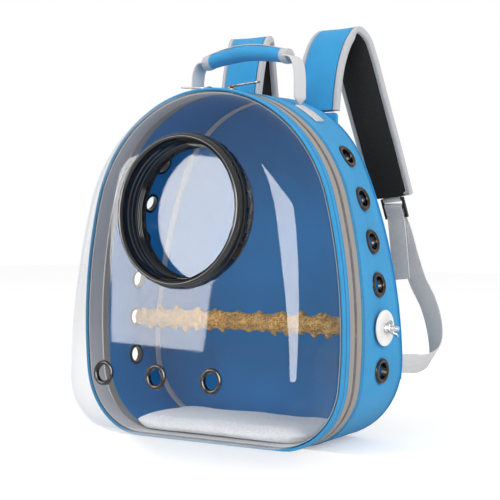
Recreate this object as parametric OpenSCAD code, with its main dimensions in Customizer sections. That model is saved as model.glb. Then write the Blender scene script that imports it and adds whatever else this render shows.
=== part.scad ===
// Bird travel carrier: a fabric backpack body with a clear bubble door,
// a porthole, a perch held by a wing nut, a carry handle and two shoulder straps.
// Millimetres, +Z up, the front looks along -Y, the origin is the middle of the base.

/* [Body] */
// Width of the body at the door seam
body_w = 380; // [372:1:400]
// Height of the body
body_h = 420; // [400:1:450]
// Depth from the door seam to the back face
body_d = 145; // [135:1:170]
// Height of the widest point at the door seam
front_belly_z = 137; // [120:1:150]
// How far the sides stand out beyond the arched top's radius at the door seam
front_shoulder = 14; // [8:1:40]
// Radius of the bottom corners at the door seam
front_corner_r = 86; // [76:1:95]
// How much narrower each side is at the back seam
rear_taper = 4; // [2:0.5:12]
// Height of the widest point at the back seam
rear_belly_z = 84; // [76:1:100]
// How far the sides stand out beyond the arched top's radius at the back seam
rear_shoulder = 40; // [24:1:60]
// Radius of the bottom corners at the back seam
rear_corner_r = 97; // [90:1:105]
// Thickness of the lined fabric
fabric_t = 2.5; // [2:0.1:3.5]
// Thickness of the padded back panel
back_t = 6; // [4:0.5:10]

/* [Bubble door] */
// Width of the fabric band that frames the bubble
band_w = 14; // [12:1:18]
// Wall thickness of the clear shell
shell_t = 1.2; // [1:0.1:2]
// How far the bubble stands proud at the grommet row
bubble_low_d = 60; // [50:1:75]
// How far the bubble stands proud at the porthole
bubble_high_d = 45; // [38:1:50]
// Width of the rounded bubble edge at the bottom
edge_low_w = 22; // [18:1:30]
// Width of the rounded bubble edge at the top
edge_high_w = 46; // [40:1:50]
// Height of the bubble's front grommets
vent_z = 82; // [74:1:92]
// Spacing of the bubble's front grommets
vent_pitch = 80; // [70:1:85]
// Sideways place of the middle front grommet
vent_x = -28; // [-35:1:0]

/* [Zipper] */
// Width of one half of the zipper tape
tape_w = 13.5; // [12:0.5:16]
// Width of one row of teeth
teeth_w = 2.5; // [2:0.1:3]
// Height of the teeth across the tape
teeth_h = 2.6; // [2.2:0.1:3.2]
// Length of a slider along the teeth
slider_len = 15; // [12:0.5:18]
// Length of a pull tab
pull_len = 42; // [30:1:50]

/* [Porthole] */
// How far the porthole's centre is below the top
port_drop = 145; // [140:1:156]
// Inner radius of the porthole tube
port_r = 79; // [70:1:80]
// Outer radius of the front flange
port_flange_r = 91; // [88:1:93]
// How far the bezel stands in front of the shell
bezel_h = 14; // [10:0.5:18]
// Length of the tube behind the shell
tube_len = 26; // [20:1:30]
// Grip notches round the rear clamp ring
clamp_notches = 28; // [16:2:36]

/* [Grommets] */
// Radius of the hole in a grommet
grommet_r = 9.5; // [8:0.25:10]
// Outer radius of a grommet's flange
grommet_flange_r = 15; // [13:0.5:16]
// Grommets on each side panel
side_count = 6; // [4:1:6]
// Height of the lowest side grommet
side_z0 = 89; // [85:1:95]
// How far the top side grommet is below the top
side_top_drop = 81; // [76:1:100]

/* [Perch] */
// Radius of the perch between its lumps
perch_r = 11; // [9:0.5:13]
// How far the lumps stand out
lump_h = 5; // [3:0.5:6]
// Which side grommet the perch is screwed through
perch_row = 1; // [1:1:2]
// Radius of the perch bolt
bolt_r = 3; // [2.5:0.25:4]
// Radius of the perch washers
washer_r = 21; // [18:1:23]
// Thickness of the perch washers
washer_t = 3; // [2:0.5:4]

/* [Floor] */
// Thickness of the stiff base board
board_t = 3; // [2:0.5:4]
// Thickness of the floor pad
pad_t = 14; // [10:1:18]

/* [Handle] */
// Distance from the middle to a handle leg
leg_x = 77; // [70:1:82]
// Height of the grip's centre line above the hinge line at its ends
grip_rise = 60; // [56:1:66]
// Radius of the padded grip
grip_r = 11; // [9:0.5:13]
// Width of the handle webbing
handle_webbing_w = 25; // [20:1:30]
// Thickness of the webbing
webbing_t = 1.8; // [1.4:0.1:2.4]

/* [Shoulder straps] */
// Distance from the middle to the strap's root
strap_x = 60; // [56:1:66]
// Width of the padded strap
strap_w = 62; // [54:1:66]
// Thickness of the padding
strap_pad_t = 7; // [5:0.5:9]
// Thickness of the outer fabric
strap_skin_t = 3; // [2:0.5:4]
// Width of the edge binding
binding_w = 7; // [5:0.5:9]
// Width of the adjuster webbing
webbing_w = 25; // [20:1:28]

/* [Hidden] */
$fn = 64;

blue = "#2f9bd6";
deep_blue = "#1f6fb0";
grey = "#b9b7b5";
black = "#1b1b1d";
metal = "#57504d";
steel = "#b8babd";
clear = [0.8, 0.9, 0.95, 0.3];
white = "#f2f2f0";
tan = "#b58a4a";

gap = 0.3;
eps = 0.01;

// Steps along the corner, side and top arcs of half an outline
corner_steps = 7;
side_steps = 7;
top_steps = 11;

front_top_r = body_w / 2 - front_shoulder;
rear_w = body_w - 2 * rear_taper;
rear_top_r = rear_w / 2 - rear_shoulder;
front_prof = [body_w / 2, front_belly_z, front_top_r, front_corner_r];
rear_prof = [rear_w / 2, rear_belly_z, rear_top_r, rear_corner_r];
port_z = body_h - port_drop;
side_pitch = (body_h - side_top_drop - side_z0) / (side_count - 1);

// Places along the depth, measured from the door seam
zip_y = band_w + tape_w + 0.5;
zip_gap = 0.15;
gusset_y = zip_y + tape_w;
gusset_end = body_d - back_t - 0.2;
corner_x = corner_centre(front_prof)[0];
zip_end_x = corner_x - 1;

// Sewn ends of the straps
root_h = 32;
root_drop = 20;
strap_hinge_z = body_h - root_drop;
strap_root_z = strap_hinge_z - 2 - root_h;

// ---- outline of the body in the XZ plane: corner, side and top arcs that meet in line ----
function top_centre_z(p) = body_h - p[2];
function side_r(p) =
  (p[0] * p[0] + pow(top_centre_z(p) - p[1], 2) - p[2] * p[2]) / (2 * (p[0] - p[2]));
function side_centre_x(p) = p[0] - side_r(p);
function corner_centre(p) =
  [side_centre_x(p) + sqrt(pow(side_r(p) - p[3], 2) - pow(p[3] - p[1], 2)), p[3]];
function corner_end(p) = atan2(p[3] - p[1], corner_centre(p)[0] - side_centre_x(p));
function side_end(p) = atan2(top_centre_z(p) - p[1], -side_centre_x(p));
function side_top_z(p) = p[1] + side_r(p) * sin(side_end(p));

function arc(cx, cz, r, a0, a1, n) =
  [for (i = [0:n]) let (a = a0 + (a1 - a0) * i / n) [cx + r * cos(a), cz + r * sin(a)]];
function tail(list) = [for (i = [1:len(list) - 1]) list[i]];
function half_outline(p, in) = concat(
  arc(corner_centre(p)[0], p[3], p[3] - in, -90, corner_end(p), corner_steps),
  tail(arc(side_centre_x(p), p[1], side_r(p) - in, corner_end(p), side_end(p), side_steps)),
  tail(arc(0, top_centre_z(p), p[2] - in, side_end(p), 90, top_steps))
);
function mirrored(half) =
  concat(half, [for (i = [len(half) - 2:-1:0]) [-half[i][0], half[i][1]]]);
function outline(p, in) = mirrored(half_outline(p, in));

// Half width of an outline at height z
function half_width(p, z) = z > side_top_z(p)
  ? sqrt(p[2] * p[2] - pow(z - top_centre_z(p), 2))
  : side_centre_x(p) + sqrt(pow(side_r(p), 2) - pow(z - p[1], 2));

// Share of the way from the gusset's front edge to its back edge
function depth_share(y) = (y - gusset_y) / (gusset_end - gusset_y);
function mix(a, b, k) = a + (b - a) * k;
function gusset_ring(y, in) = let (k = depth_share(y))
  [for (i = [0:len(outline(front_prof, in)) - 1])
    let (q = mix(outline(front_prof, in)[i], outline(rear_prof, in)[i], k)) [q[0], y, q[1]]];

// A point of the gusset's arched top: polar angle, depth and height above the fabric
function on_top(a, y, up) = let (k = depth_share(y), r = mix(front_top_r, rear_top_r, k) + up)
  [r * cos(a), y, mix(top_centre_z(front_prof), top_centre_z(rear_prof), k) + r * sin(a)];

// ---- building blocks ----
// Seam-based pieces are moved so that the middle of the base is the origin
module at_base() {
  translate([0, -body_d / 2, 0]) children();
}

// Pieces drawn for the right side; side -1 mirrors them to the left
module on_side(side) {
  at_base() mirror([side < 0 ? 1 : 0, 0, 0]) children();
}

// Closed skin through equal rings of points; flip turns the diagonals of its facets
module skin(rings, flip = false) {
  n = len(rings[0]);
  m = len(rings);
  polyhedron(
    points = [for (ring = rings) each ring],
    faces = concat(
      [[for (i = [0:n - 1]) i]],
      [for (j = [0:m - 2], i = [0:n - 1])
        let (a = j * n + i, b = a + n, c = (j + 1) * n + (i + 1) % n, d = c - n)
          each flip ? [[a, b, d], [b, c, d]] : [[a, b, c], [a, c, d]]],
      [[for (i = [n - 1:-1:0]) (m - 1) * n + i]]
    )
  );
}

// Hollow sleeve: rings that close on themselves, with its facets alike on both sides
module sleeve(rings) {
  n = len(rings[0]);
  m = len(rings);
  polyhedron(
    points = [for (ring = rings) each ring],
    faces = [for (j = [0:m - 1], i = [0:n - 1])
      let (k = (j + 1) % m, l = (i + 1) % n, a = j * n + i, b = k * n + i, c = k * n + l,
           d = j * n + l)
        each (i < floor(n / 2)) == (j == 2) ? [[a, b, c], [a, c, d]] : [[a, b, d], [b, c, d]]]
  );
}

// Outline p, drawn in by "in", from depth y0 to y1
module slab(p, in, y0, y1) {
  translate([0, y1, 0]) rotate([90, 0, 0]) linear_extrude(y1 - y0) polygon(outline(p, in));
}

// Ring between two insets of outline p
module band(p, in0, in1, y0, y1) {
  difference() {
    slab(p, in0, y0, y1);
    slab(p, in1, y0 - 1, y1 + 1);
  }
}

// Flat stretch at the bottom between the two corners, where the door is sewn and not zipped
module bottom_strip(y0, y1) {
  translate([-zip_end_x, y0, 0]) cube([2 * zip_end_x, y1 - y0, fabric_t]);
}

module without_bottom() {
  difference() {
    children();
    translate([-zip_end_x, 0, -1]) cube([2 * zip_end_x, body_d, side_z0 / 2]);
  }
}

// Sheet of even thickness along a path; the rings lie across the path
function unit(v) = v / norm(v);
function path_dir(path, i) =
  unit(path[min(i + 1, len(path) - 1)] - path[max(i - 1, 0)]);
function ribbon_ring(path, i, across, w, t, side, lift) =
  let (t_dir = path_dir(path, i), w_dir = unit(across - (across * t_dir) * t_dir),
       n_dir = cross(t_dir, w_dir), c = path[i] + side * w_dir + lift * n_dir)
  [c - w_dir * w / 2 - n_dir * t / 2, c + w_dir * w / 2 - n_dir * t / 2,
   c + w_dir * w / 2 + n_dir * t / 2, c - w_dir * w / 2 + n_dir * t / 2];
module ribbon(path, across, w, t, side = 0, lift = 0, flip = false) {
  skin([for (i = [0:len(path) - 1]) ribbon_ring(path, i, across, w, t, side, lift)], flip);
}

// Points on a smooth curve through a list of points, steps to a stretch
function curve_point(p, i, t) = let (
  a = p[max(i - 1, 0)], b = p[i], c = p[i + 1], d = p[min(i + 2, len(p) - 1)])
  0.5 * (2 * b + (c - a) * t + (2 * a - 5 * b + 4 * c - d) * t * t
    + (3 * b - a - 3 * c + d) * t * t * t);
function curve(p, steps) = concat(
  [for (i = [0:len(p) - 2], s = [0:steps - 1]) curve_point(p, i, s / steps)], [p[len(p) - 1]]);

// Eyelet along +Z: outer flange above z = 0, inner flange below the sheet
module eyelet(sheet_t, sag, seat = 0.15) {
  barrel_r = grommet_r + 0.8;
  rotate_extrude() polygon([
    [grommet_r, -sheet_t - sag - 1.2], [grommet_flange_r - 2, -sheet_t - sag - 1.2],
    [grommet_flange_r - 2, -sheet_t - sag], [barrel_r, -sheet_t - sag],
    [barrel_r, seat], [grommet_flange_r, seat], [grommet_flange_r - 0.2, 0.9],
    [grommet_flange_r - 1.4, 1.9], [grommet_flange_r - 2.8, 2.3],
    [grommet_r + 1.2, 1.9], [grommet_r, 0.9]
  ]);
}
hole_clear = 1.1;

// ---- body ----
module gusset() {
  color(blue) at_base() difference() {
    sleeve([gusset_ring(gusset_y, 0), gusset_ring(gusset_end, 0),
      gusset_ring(gusset_end, fabric_t), gusset_ring(gusset_y, fabric_t)]);
    for (side = [-1, 1], i = [0:side_count - 1]) side_place(side, i)
      cylinder(r = grommet_r + hole_clear, h = 30, center = true);
  }
}

// Frame on the side panel at grommet i, with +Z along the panel's outward normal
side_y = mix(gusset_y, gusset_end, 0.5);
function side_grommet_z(i) = side_z0 + i * side_pitch;
function panel_x(y, z) = mix(half_width(front_prof, z), half_width(rear_prof, z), depth_share(y));
function panel_normal(z) =
  [1, panel_x(side_y - 0.5, z) - panel_x(side_y + 0.5, z),
   panel_x(side_y, z - 0.5) - panel_x(side_y, z + 0.5)];
module side_place(side, i) {
  z = side_grommet_z(i);
  n = unit(panel_normal(z));
  scale_x = side;
  translate([side * panel_x(side_y, z), side_y, z])
    rotate([0, acos(n[2]), atan2(n[1], scale_x * n[0])]) children();
}

// A panel that curves away from the tangent plane needs a longer barrel
panel_sag = 1.9;
module side_grommets(side) {
  color(metal) at_base() for (i = [0:side_count - 1]) side_place(side, i)
    eyelet(fabric_t, panel_sag, 0.4);
}
module side_grommets_left() side_grommets(-1);
module side_grommets_right() side_grommets(1);

module back_panel() {
  color(blue) at_base() slab(rear_prof, 0, body_d - back_t, body_d);
}

// Two tall pads and a lumbar pad on the wearer's side
back_pad_t = 7;
back_pad_w = 104;
back_pad_gap = 26;
back_pad_r = 22;
lumbar_z = 48;
lumbar_h = 62;
pad_margin = 14;
pad_top_z = strap_root_z - pad_margin;
function rounded_ring(w, h, in, y) = let (a = w / 2 - back_pad_r, b = h / 2 - back_pad_r)
  [for (c = [0:3], k = [0:5]) let (t = 90 * c + 18 * k, r = back_pad_r - in)
    [(c == 0 || c == 3 ? a : -a) + r * cos(t), y, (c < 2 ? b : -b) + r * sin(t)]];
module back_cushion(x, z0, w, h) {
  translate([x, body_d + gap, z0 + h / 2]) skin([rounded_ring(w, h, 0, 0),
    rounded_ring(w, h, 0, back_pad_t * 0.45), rounded_ring(w, h, 3, back_pad_t * 0.75),
    rounded_ring(w, h, 9, back_pad_t * 0.92), rounded_ring(w, h, 19, back_pad_t)]);
}
module back_pads() {
  tall_z = lumbar_z + lumbar_h + pad_margin;
  color(black) at_base() {
    for (side = [-1, 1])
      back_cushion(side * (back_pad_w + back_pad_gap) / 2, tall_z, back_pad_w, pad_top_z - tall_z);
    back_cushion(0, lumbar_z, 2 * back_pad_w + back_pad_gap, lumbar_h);
  }
}

board_z = fabric_t + 1;
module base_board() {
  y0 = zip_y + 3;
  y1 = body_d - back_t - 4;
  w = 2 * (corner_centre(rear_prof)[0] + 8);
  color(white) at_base() translate([0, (y0 + y1) / 2, board_z])
    linear_extrude(board_t) square([w, y1 - y0], center = true);
}

// Crowned cushion: a squarish ring at each level, drawn in between its corners
pad_z = board_z + board_t + gap;
pad_front_y = 6;
pad_back_y = body_d - back_t - 4;
pad_levels = [[0, 7], [0.08, 2], [0.25, 0], [0.55, 0], [0.76, 4], [0.88, 10], [0.95, 20], [1, 38]];
function corner_x_at(z, in) =
  corner_centre(rear_prof)[0] + sqrt(pow(rear_corner_r - in, 2) - pow(rear_corner_r - z, 2));
function squarish(c) = sign(c) * pow(abs(c), 0.3);
function pad_ring(level) = let (z = pad_z + level[0] * pad_t,
  a = corner_x_at(z, fabric_t + 1.5) - level[1],
  b = (pad_back_y - pad_front_y) / 2 - level[1] * 0.8)
  [for (i = [0:47]) let (t = i * 7.5 + 3.75, x = squarish(cos(t)), y = squarish(sin(t)))
    [a * x * (0.975 + 0.025 * y * y),
     (pad_front_y + pad_back_y) / 2 + b * y * (0.96 + 0.04 * x * x), z]];
module floor_pad() {
  color(white) at_base() skin([for (level = pad_levels) pad_ring(level)]);
}

// Grey tape over the seam inside the back corner
seam_tape_w = 9;
module rear_seam_binding() {
  color(grey) at_base() difference() {
    band(rear_prof, fabric_t + gap, fabric_t + 2, gusset_end - seam_tape_w, gusset_end);
    translate([-body_w / 2, 0, -1]) cube([body_w, body_d, pad_z + pad_t + 1 + gap]);
  }
}

// ---- zipper ----
tape_in = 0.8;
tape_t = 1;
module zipper_tape(y0, y1) {
  color(grey) at_base() without_bottom() band(front_prof, tape_in, tape_in + tape_t, y0, y1);
}
module zipper_teeth(y0) {
  difference() {
    without_bottom() band(front_prof, 0, teeth_h, y0, y0 + teeth_w);
    children();
  }
}
module body_zipper_tape() zipper_tape(zip_y + zip_gap + teeth_w + 0.1, gusset_y - 0.1);
module door_zipper_tape() zipper_tape(band_w + 0.1, zip_y - zip_gap - teeth_w - 0.1);
module body_zipper_teeth() {
  color(metal) at_base() zipper_teeth(zip_y + zip_gap);
}
module door_zipper_teeth() {
  color(metal) at_base() zipper_teeth(zip_y - zip_gap - teeth_w);
}

// ---- door ----
rolled_edge = 1;
rolled_w = 4.5;
module door_band() {
  color(blue) at_base() intersection() {
    union() {
      band(front_prof, 0, fabric_t, 0, band_w);
      band(front_prof, -rolled_edge, fabric_t, -1.5, rolled_w);
      bottom_strip(band_w - 1, zip_y - zip_gap);
    }
    translate([-body_w, -body_d, 0]) cube([2 * body_w, 2 * body_d, 2 * body_h]);
  }
}
shell_in = fabric_t + gap;
skirt_y = band_w - 2;
module door_inner_tape() {
  color(grey) at_base()
    band(front_prof, shell_in + shell_t + gap, shell_in + shell_t + gap + 1.2, 0.5, zip_y - 4);
}

// Depth of the flat front of the bubble at height z, a straight lean between two heights
bubble_slope = (bubble_high_d - bubble_low_d) / (port_z - vent_z);
function bubble_depth(z) = bubble_low_d + (z - vent_z) * bubble_slope;
lean = atan(-bubble_slope);
// Width of the rounded edge grows smoothly with height
edge_full_z = 250;
function ease(t) = let (k = min(max(t, 0), 1)) k * k * (3 - 2 * k);
function edge_w(z) = mix(edge_low_w, edge_high_w, ease(z / edge_full_z));
dish_steps = 6;
// One ring of the bubble: the outline moved in and forward along a quarter ellipse
function dish_ring(in, a) = let (
  o = outline(front_prof, in), o1 = outline(front_prof, in + 1))
  [for (i = [0:len(o) - 1]) let (
    w = edge_w(o[i][1]), q = o[i] + (o1[i] - o[i]) * w * (1 - cos(a)))
    [q[0], -(bubble_depth(q[1]) - (in - shell_in)) * sin(a), q[1]]];
module dish(in, back) {
  skin(concat(
    [[for (q = outline(front_prof, in)) [q[0], back, q[1]]]],
    [for (k = [0:dish_steps]) dish_ring(in, 90 * k / dish_steps)]
  ));
}
// Frame on the bubble's flat front, with +Z along its outward normal
module front_place(x, z) {
  translate([x, -bubble_depth(z), z]) rotate([90 - lean, 0, 0]) children();
}
module clear_shell() {
  color(clear) at_base() difference() {
    dish(shell_in, skirt_y);
    dish(shell_in + shell_t, skirt_y + 1);
    front_place(0, port_z) cylinder(r = port_r + port_wall + gap, h = 40, center = true);
    for (i = [-1:1]) front_place(vent_x + i * vent_pitch, vent_z)
      cylinder(r = grommet_r + hole_clear, h = 20, center = true);
  }
}
module front_grommets() {
  color(metal) at_base() for (i = [-1:1]) front_place(vent_x + i * vent_pitch, vent_z)
    eyelet(shell_t, 0.2);
}

// Porthole: flanged tube from the front, clamp ring behind the shell, clear lens in the tube
port_wall = 3;
ledge = 3;
ledge_t = 2.5;
groove = 0.8;
module porthole_ring() {
  r0 = port_r;
  r1 = port_r + port_wall;
  color(black) at_base() front_place(0, port_z) rotate_extrude($fn = 96) polygon([
    [r1, -tube_len], [r1, 0.2], [port_flange_r, 0.2], [port_flange_r, 2.2],
    [port_flange_r - 1, 3.4], [port_flange_r - 3.5, 4.6], [r1 + 3.6, bezel_h - 3],
    [r1 + 2.2, bezel_h - 0.8], [r1 + 0.6, bezel_h], [r1 - 0.8, bezel_h - 0.6],
    [r1 - 1.2, bezel_h - 2.5], [r1 - 1.2, 3], [r0 + groove, 1.5],
    [r0 + groove, -3.5], [r0, -4.5], [r0, -8], [r0 + groove, -8.8], [r0 + groove, -11],
    [r0, -11.8], [r0, -tube_len + ledge_t], [r0 - ledge, -tube_len + ledge_t],
    [r0 - ledge, -tube_len]
  ]);
}
clamp_t = 8;
module porthole_clamp() {
  r0 = port_r + port_wall + 0.1;
  r1 = port_flange_r - 1;
  color(black) at_base() front_place(0, port_z) difference() {
    translate([0, 0, -shell_t - 0.3 - clamp_t]) cylinder(r = r1, h = clamp_t, $fn = 96);
    translate([0, 0, -shell_t - clamp_t - 2]) cylinder(r = r0, h = clamp_t + 4, $fn = 96);
    for (i = [0:clamp_notches - 1]) rotate(i * 360 / clamp_notches)
      translate([r1 - 1.6, -2, -shell_t - clamp_t - 2]) cube([4, 4, clamp_t]);
  }
}
lens_t = 1.5;
module porthole_lens() {
  color(clear) at_base() front_place(0, port_z)
    translate([0, 0, -tube_len + ledge_t + 0.2]) cylinder(r = port_r - gap, h = lens_t, $fn = 96);
}

// Sewn strip under the door's fabric hinge, and the tape along the hinge inside
module hinge_strip() {
  color(blue) at_base() bottom_strip(zip_y + zip_gap, gusset_y - 0.1);
}
module hinge_tape() {
  color(grey) at_base() translate([-zip_end_x, zip_y + 0.2, fabric_t + 0.1])
    cube([2 * zip_end_x, 2.4, 0.7]);
}

// ---- zipper sliders, at rest on each side of the top ----
slider_w = 11;
slider_t = 1.8;
slider_rest = 5;
lug_h = 3.6;
pin_r = 1;
pin_up = 2.4;
module at_slider(side) {
  translate([0, zip_y, top_centre_z(front_prof)])
    rotate([0, side * slider_rest, 0]) translate([0, 0, front_top_r]) children();
}
module slider(side) {
  rear_lip = tape_in - 0.2;
  color(metal) at_base() at_slider(side) {
    translate([-slider_len / 2, -slider_w / 2, 0.4]) cube([slider_len, slider_w, slider_t]);
    translate([-slider_len / 2, teeth_w + 0.6, -rear_lip])
      cube([slider_len, slider_w / 2 - teeth_w - 0.6, rear_lip + 0.5]);
    for (s = [-1, 1]) translate([-2, s * 3.6 - 0.8, 0.4 + slider_t - 0.1])
      cube([4, 1.6, lug_h]);
    translate([0, 4.4, 0.4 + slider_t + pin_up]) rotate([90, 0, 0])
      cylinder(r = pin_r, h = 8.8, $fn = 32);
  }
}
module slider_left() slider(-1);
module slider_right() slider(1);

pull_w = 8;
pull_t = 1.6;
eye_w = 5;
pull_slant = 9;
module pull_tab(side) {
  color(metal) at_base() at_slider(side) translate([0, 0, 0.4 + slider_t + pin_up])
    rotate([90, side * pull_slant, 0]) difference() {
      union() {
        translate([0, 0, -eye_w / 2]) cylinder(r = 2.2, h = eye_w, $fn = 32);
        translate([side > 0 ? 0 : -8, -pull_t / 2, -eye_w / 2]) cube([8, pull_t, eye_w]);
        translate([0, -pull_t / 2, 0]) rotate([-90, 0, 0]) linear_extrude(pull_t)
          scale([side, 1]) pull_outline();
      }
      translate([0, 0, -eye_w]) cylinder(r = pin_r + 0.06, h = 2 * eye_w, $fn = 32);
    }
}
module pull_outline() {
  difference() {
    polygon([[6, -eye_w / 2], [11, -pull_w / 2], [pull_len - 3, -pull_w / 2],
      [pull_len, -pull_w / 2 + 3], [pull_len, pull_w / 2 - 3], [pull_len - 3, pull_w / 2],
      [11, pull_w / 2], [6, eye_w / 2]]);
    translate([pull_len - 7, 0]) circle(r = 2, $fn = 24);
  }
}
module pull_tab_left() pull_tab(-1);
module pull_tab_right() pull_tab(1);

// ---- perch ----
perch_z = side_grommet_z(perch_row);
panel_here = panel_x(side_y, perch_z);
inner_face = panel_here - fabric_t - panel_sag - 1.2 - 1.3;
outer_face = panel_here + 2.3 + 1.3;
perch_end = inner_face - 2 * washer_t / 2 - 0.3;
perch_steps = 84;
perch_sides = 14;
lump_pitch = 6.2;
// Height of the perch's surface: lumps along a golden-angle spiral, largest one at each place
function lump_at(x, a, j) = let (
  lx = -perch_end + 9 + j * lump_pitch, la = j * 137.5,
  da = (a - la) - 360 * round((a - la) / 360), d2 = pow((x - lx) / 7, 2) + pow(da / 38, 2))
  (0.7 + 0.3 * sin(j * 77)) * max(0, 1 - d2);
function lump_total(x, a) = let (j0 = round((x + perch_end - 9) / lump_pitch))
  max([for (j = [j0 - 2:j0 + 2]) lump_at(x, a, j)]);
function perch_ring(x) = [for (i = [0:perch_sides - 1]) let (
  a = 360 * i / perch_sides,
  ends = min(1, (perch_end - abs(x)) / 6),
  r = perch_r + lump_h * lump_total(x, a) * ends)
  [x, side_y + r * cos(a), perch_z + r * sin(a)]];
module perch() {
  color(tan) at_base() difference() {
    skin([for (j = [perch_steps:-1:0]) perch_ring(mix(-perch_end, perch_end, j / perch_steps))]);
    translate([perch_end - bolt_grip - 4, side_y, perch_z]) rotate([0, 90, 0])
      cylinder(r = bolt_r + 0.05, h = 60, $fn = 48);
  }
}
bolt_out = 16;
bolt_grip = 36;
module perch_bolt() {
  x0 = perch_end - bolt_grip;
  x1 = outer_face + washer_t + bolt_out;
  color(steel) at_base() translate([x0, side_y, perch_z]) rotate([0, 90, 0])
    cylinder(r = bolt_r, h = x1 - x0, $fn = 48);
}
module washer(x0) {
  color(white) at_base() translate([x0, side_y, perch_z]) rotate([0, 90, 0]) difference() {
    union() {
      cylinder(r = washer_r, h = washer_t * 0.6, $fn = 64);
      cylinder(r = washer_r - 1.5, h = washer_t, $fn = 64);
    }
    translate([0, 0, -1]) cylinder(r = bolt_r + 0.2, h = washer_t + 2, $fn = 48);
  }
}
module perch_outer_washer() washer(outer_face);
module perch_inner_washer() washer(inner_face - washer_t);

nut_h = 7;
nut_r = 5.5;
module wing_nut() {
  color(steel) at_base() translate([outer_face + washer_t + 0.2, side_y, perch_z])
    rotate([0, 90, 0]) difference() {
      union() {
        cylinder(r1 = nut_r + 0.8, r2 = nut_r - 0.7, h = nut_h, $fn = 48);
        rotate([90, 0, 35]) translate([0, 0, -1]) linear_extrude(2) for (s = [-1, 1])
          polygon([[s * 3.6, 1], [s * 5, 1], [s * 12, 7], [s * 12.5, 11], [s * 9.5, 12.5],
            [s * 7, 11], [s * 4.2, 6.5]]);
      }
      translate([0, 0, -1]) cylinder(r = bolt_r + 0.05, h = nut_h + 8, $fn = 48);
    }
}

// ---- handle ----
handle_y = side_y - 5;
tab_len_a = 12;
tab_lift = 0.4;
leg_angle = acos(leg_x / mix(front_top_r, rear_top_r, depth_share(handle_y)));
hinge_z = on_top(leg_angle, handle_y, tab_lift + webbing_t)[2] + 0.3;
function tab_ring(a) = let (y0 = handle_y - handle_webbing_w / 2, y1 = y0 + handle_webbing_w)
  [on_top(a, y0, tab_lift), on_top(a, y0, tab_lift + webbing_t),
   on_top(a, y1, tab_lift + webbing_t), on_top(a, y1, tab_lift)];
module handle_tabs() {
  color(grey) at_base() for (side = [0, 1]) mirror([side, 0, 0])
    skin([for (k = [5:-1:0]) tab_ring(leg_angle - tab_len_a * k / 5)]);
}
// One leg: webbing that stands up from the tab and turns in to the grip
grip_end_x = leg_x - 16;
leg_line = [
  [leg_x, hinge_z + 0.2], [leg_x, hinge_z + grip_rise * 0.55], [leg_x - 2, hinge_z + grip_rise * 0.8],
  [leg_x - 8, hinge_z + grip_rise * 0.97], [grip_end_x - 2, hinge_z + grip_rise]
];
module handle_legs() {
  color(grey) at_base() for (side = [0, 1]) mirror([side, 0, 0]) intersection() {
    ribbon([for (q = curve([for (q = leg_line) [q[0], handle_y, q[1]]], 3)) q], [0, 1, 0],
      handle_webbing_w, webbing_t);
    translate([0, handle_y, hinge_z]) rotate([90, 0, 90]) linear_extrude(body_w / 2)
      polygon([[-1, 0], [1, 0], [handle_webbing_w, 15], [handle_webbing_w, 2 * grip_rise],
        [-handle_webbing_w, 2 * grip_rise], [-handle_webbing_w, 15]]);
  }
}
// Padded grip: a sleeve that swells a little in the middle
grip_arch = 8;
grip_steps = 10;
function grip_ring(t) = let (
  x = t * (grip_end_x - 2.6), r = grip_r * (0.86 + 0.14 * cos(90 * t)),
  z = hinge_z + grip_rise + grip_arch * cos(90 * t))
  [for (i = [0:15]) [x, handle_y + r * 1.1 * cos(i * 22.5), z + r * 0.9 * sin(i * 22.5)]];
module handle_grip() {
  color(blue) at_base()
    skin([for (k = [grip_steps:-1:-grip_steps]) grip_ring(k / grip_steps)]);
}

// ---- shoulder straps ----
strap_t = strap_pad_t + strap_skin_t + gap;
strap_root_y = body_d + gap + strap_t / 2;
strap_reach = 103;
// Middle line of the padded strap, from its root over the top and down behind the back
strap_line = [
  [0, 1.5, 1], [0, 6, 30], [1, 14, 62], [4, 27, 90], [9, 42, 102], [14, 56, 92],
  [18, 66, 68], [22, 77, 36], [26, 91, -2], [30, 104, -38], [34, 116, -74], [37, 126, -strap_reach]
];
strap_path = curve([for (q = strap_line)
  [strap_x + q[0], strap_root_y + q[1], strap_hinge_z + q[2]]], 2);
strap_across = [1, 0, 0];
core_w = strap_w - 2 * binding_w - 0.4;
module strap_skin(side) {
  color(blue) on_side(side) ribbon(strap_path, strap_across, core_w, strap_skin_t, 0,
    -(strap_t - strap_skin_t) / 2);
}
module strap_pad(side) {
  color(black) on_side(side) ribbon(strap_path, strap_across, core_w, strap_pad_t, 0,
    (strap_t - strap_pad_t) / 2, true);
}
module strap_binding(side) {
  color(grey) on_side(side) for (s = [-1, 1]) ribbon(strap_path, strap_across, binding_w,
    strap_t - 0.6, s * (strap_w - binding_w) / 2, 0);
}
module strap_skin_left() strap_skin(-1);
module strap_skin_right() strap_skin(1);
module strap_pad_left() strap_pad(-1);
module strap_pad_right() strap_pad(1);
module strap_binding_left() strap_binding(-1);
module strap_binding_right() strap_binding(1);

// Sewn ends of both straps on the back panel
module strap_roots() {
  color(blue) at_base() for (side = [-1, 1])
    translate([side * strap_x - strap_w / 2, body_d + gap, strap_root_z])
      cube([strap_w, strap_t - 2, root_h]);
}

// Ladder-lock below the strap's end; its top bar sits in a sewn loop
adjuster_w = webbing_w + 9;
adjuster_h = 28;
adjuster_t = 4;
bar_w = 4;
slot_h = (adjuster_h - 3 * bar_w) / 2;
loop_t = 1.5;
loop_gap = 0.4;
bar_drop = adjuster_t / 2 + loop_gap + loop_t + 0.2;
strap_end = strap_path[len(strap_path) - 1];
end_dir = unit(strap_end - strap_path[len(strap_path) - 3]);
end_pitch = asin(end_dir[1]);
end_roll = atan2(end_dir[0], -end_dir[2]);
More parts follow.
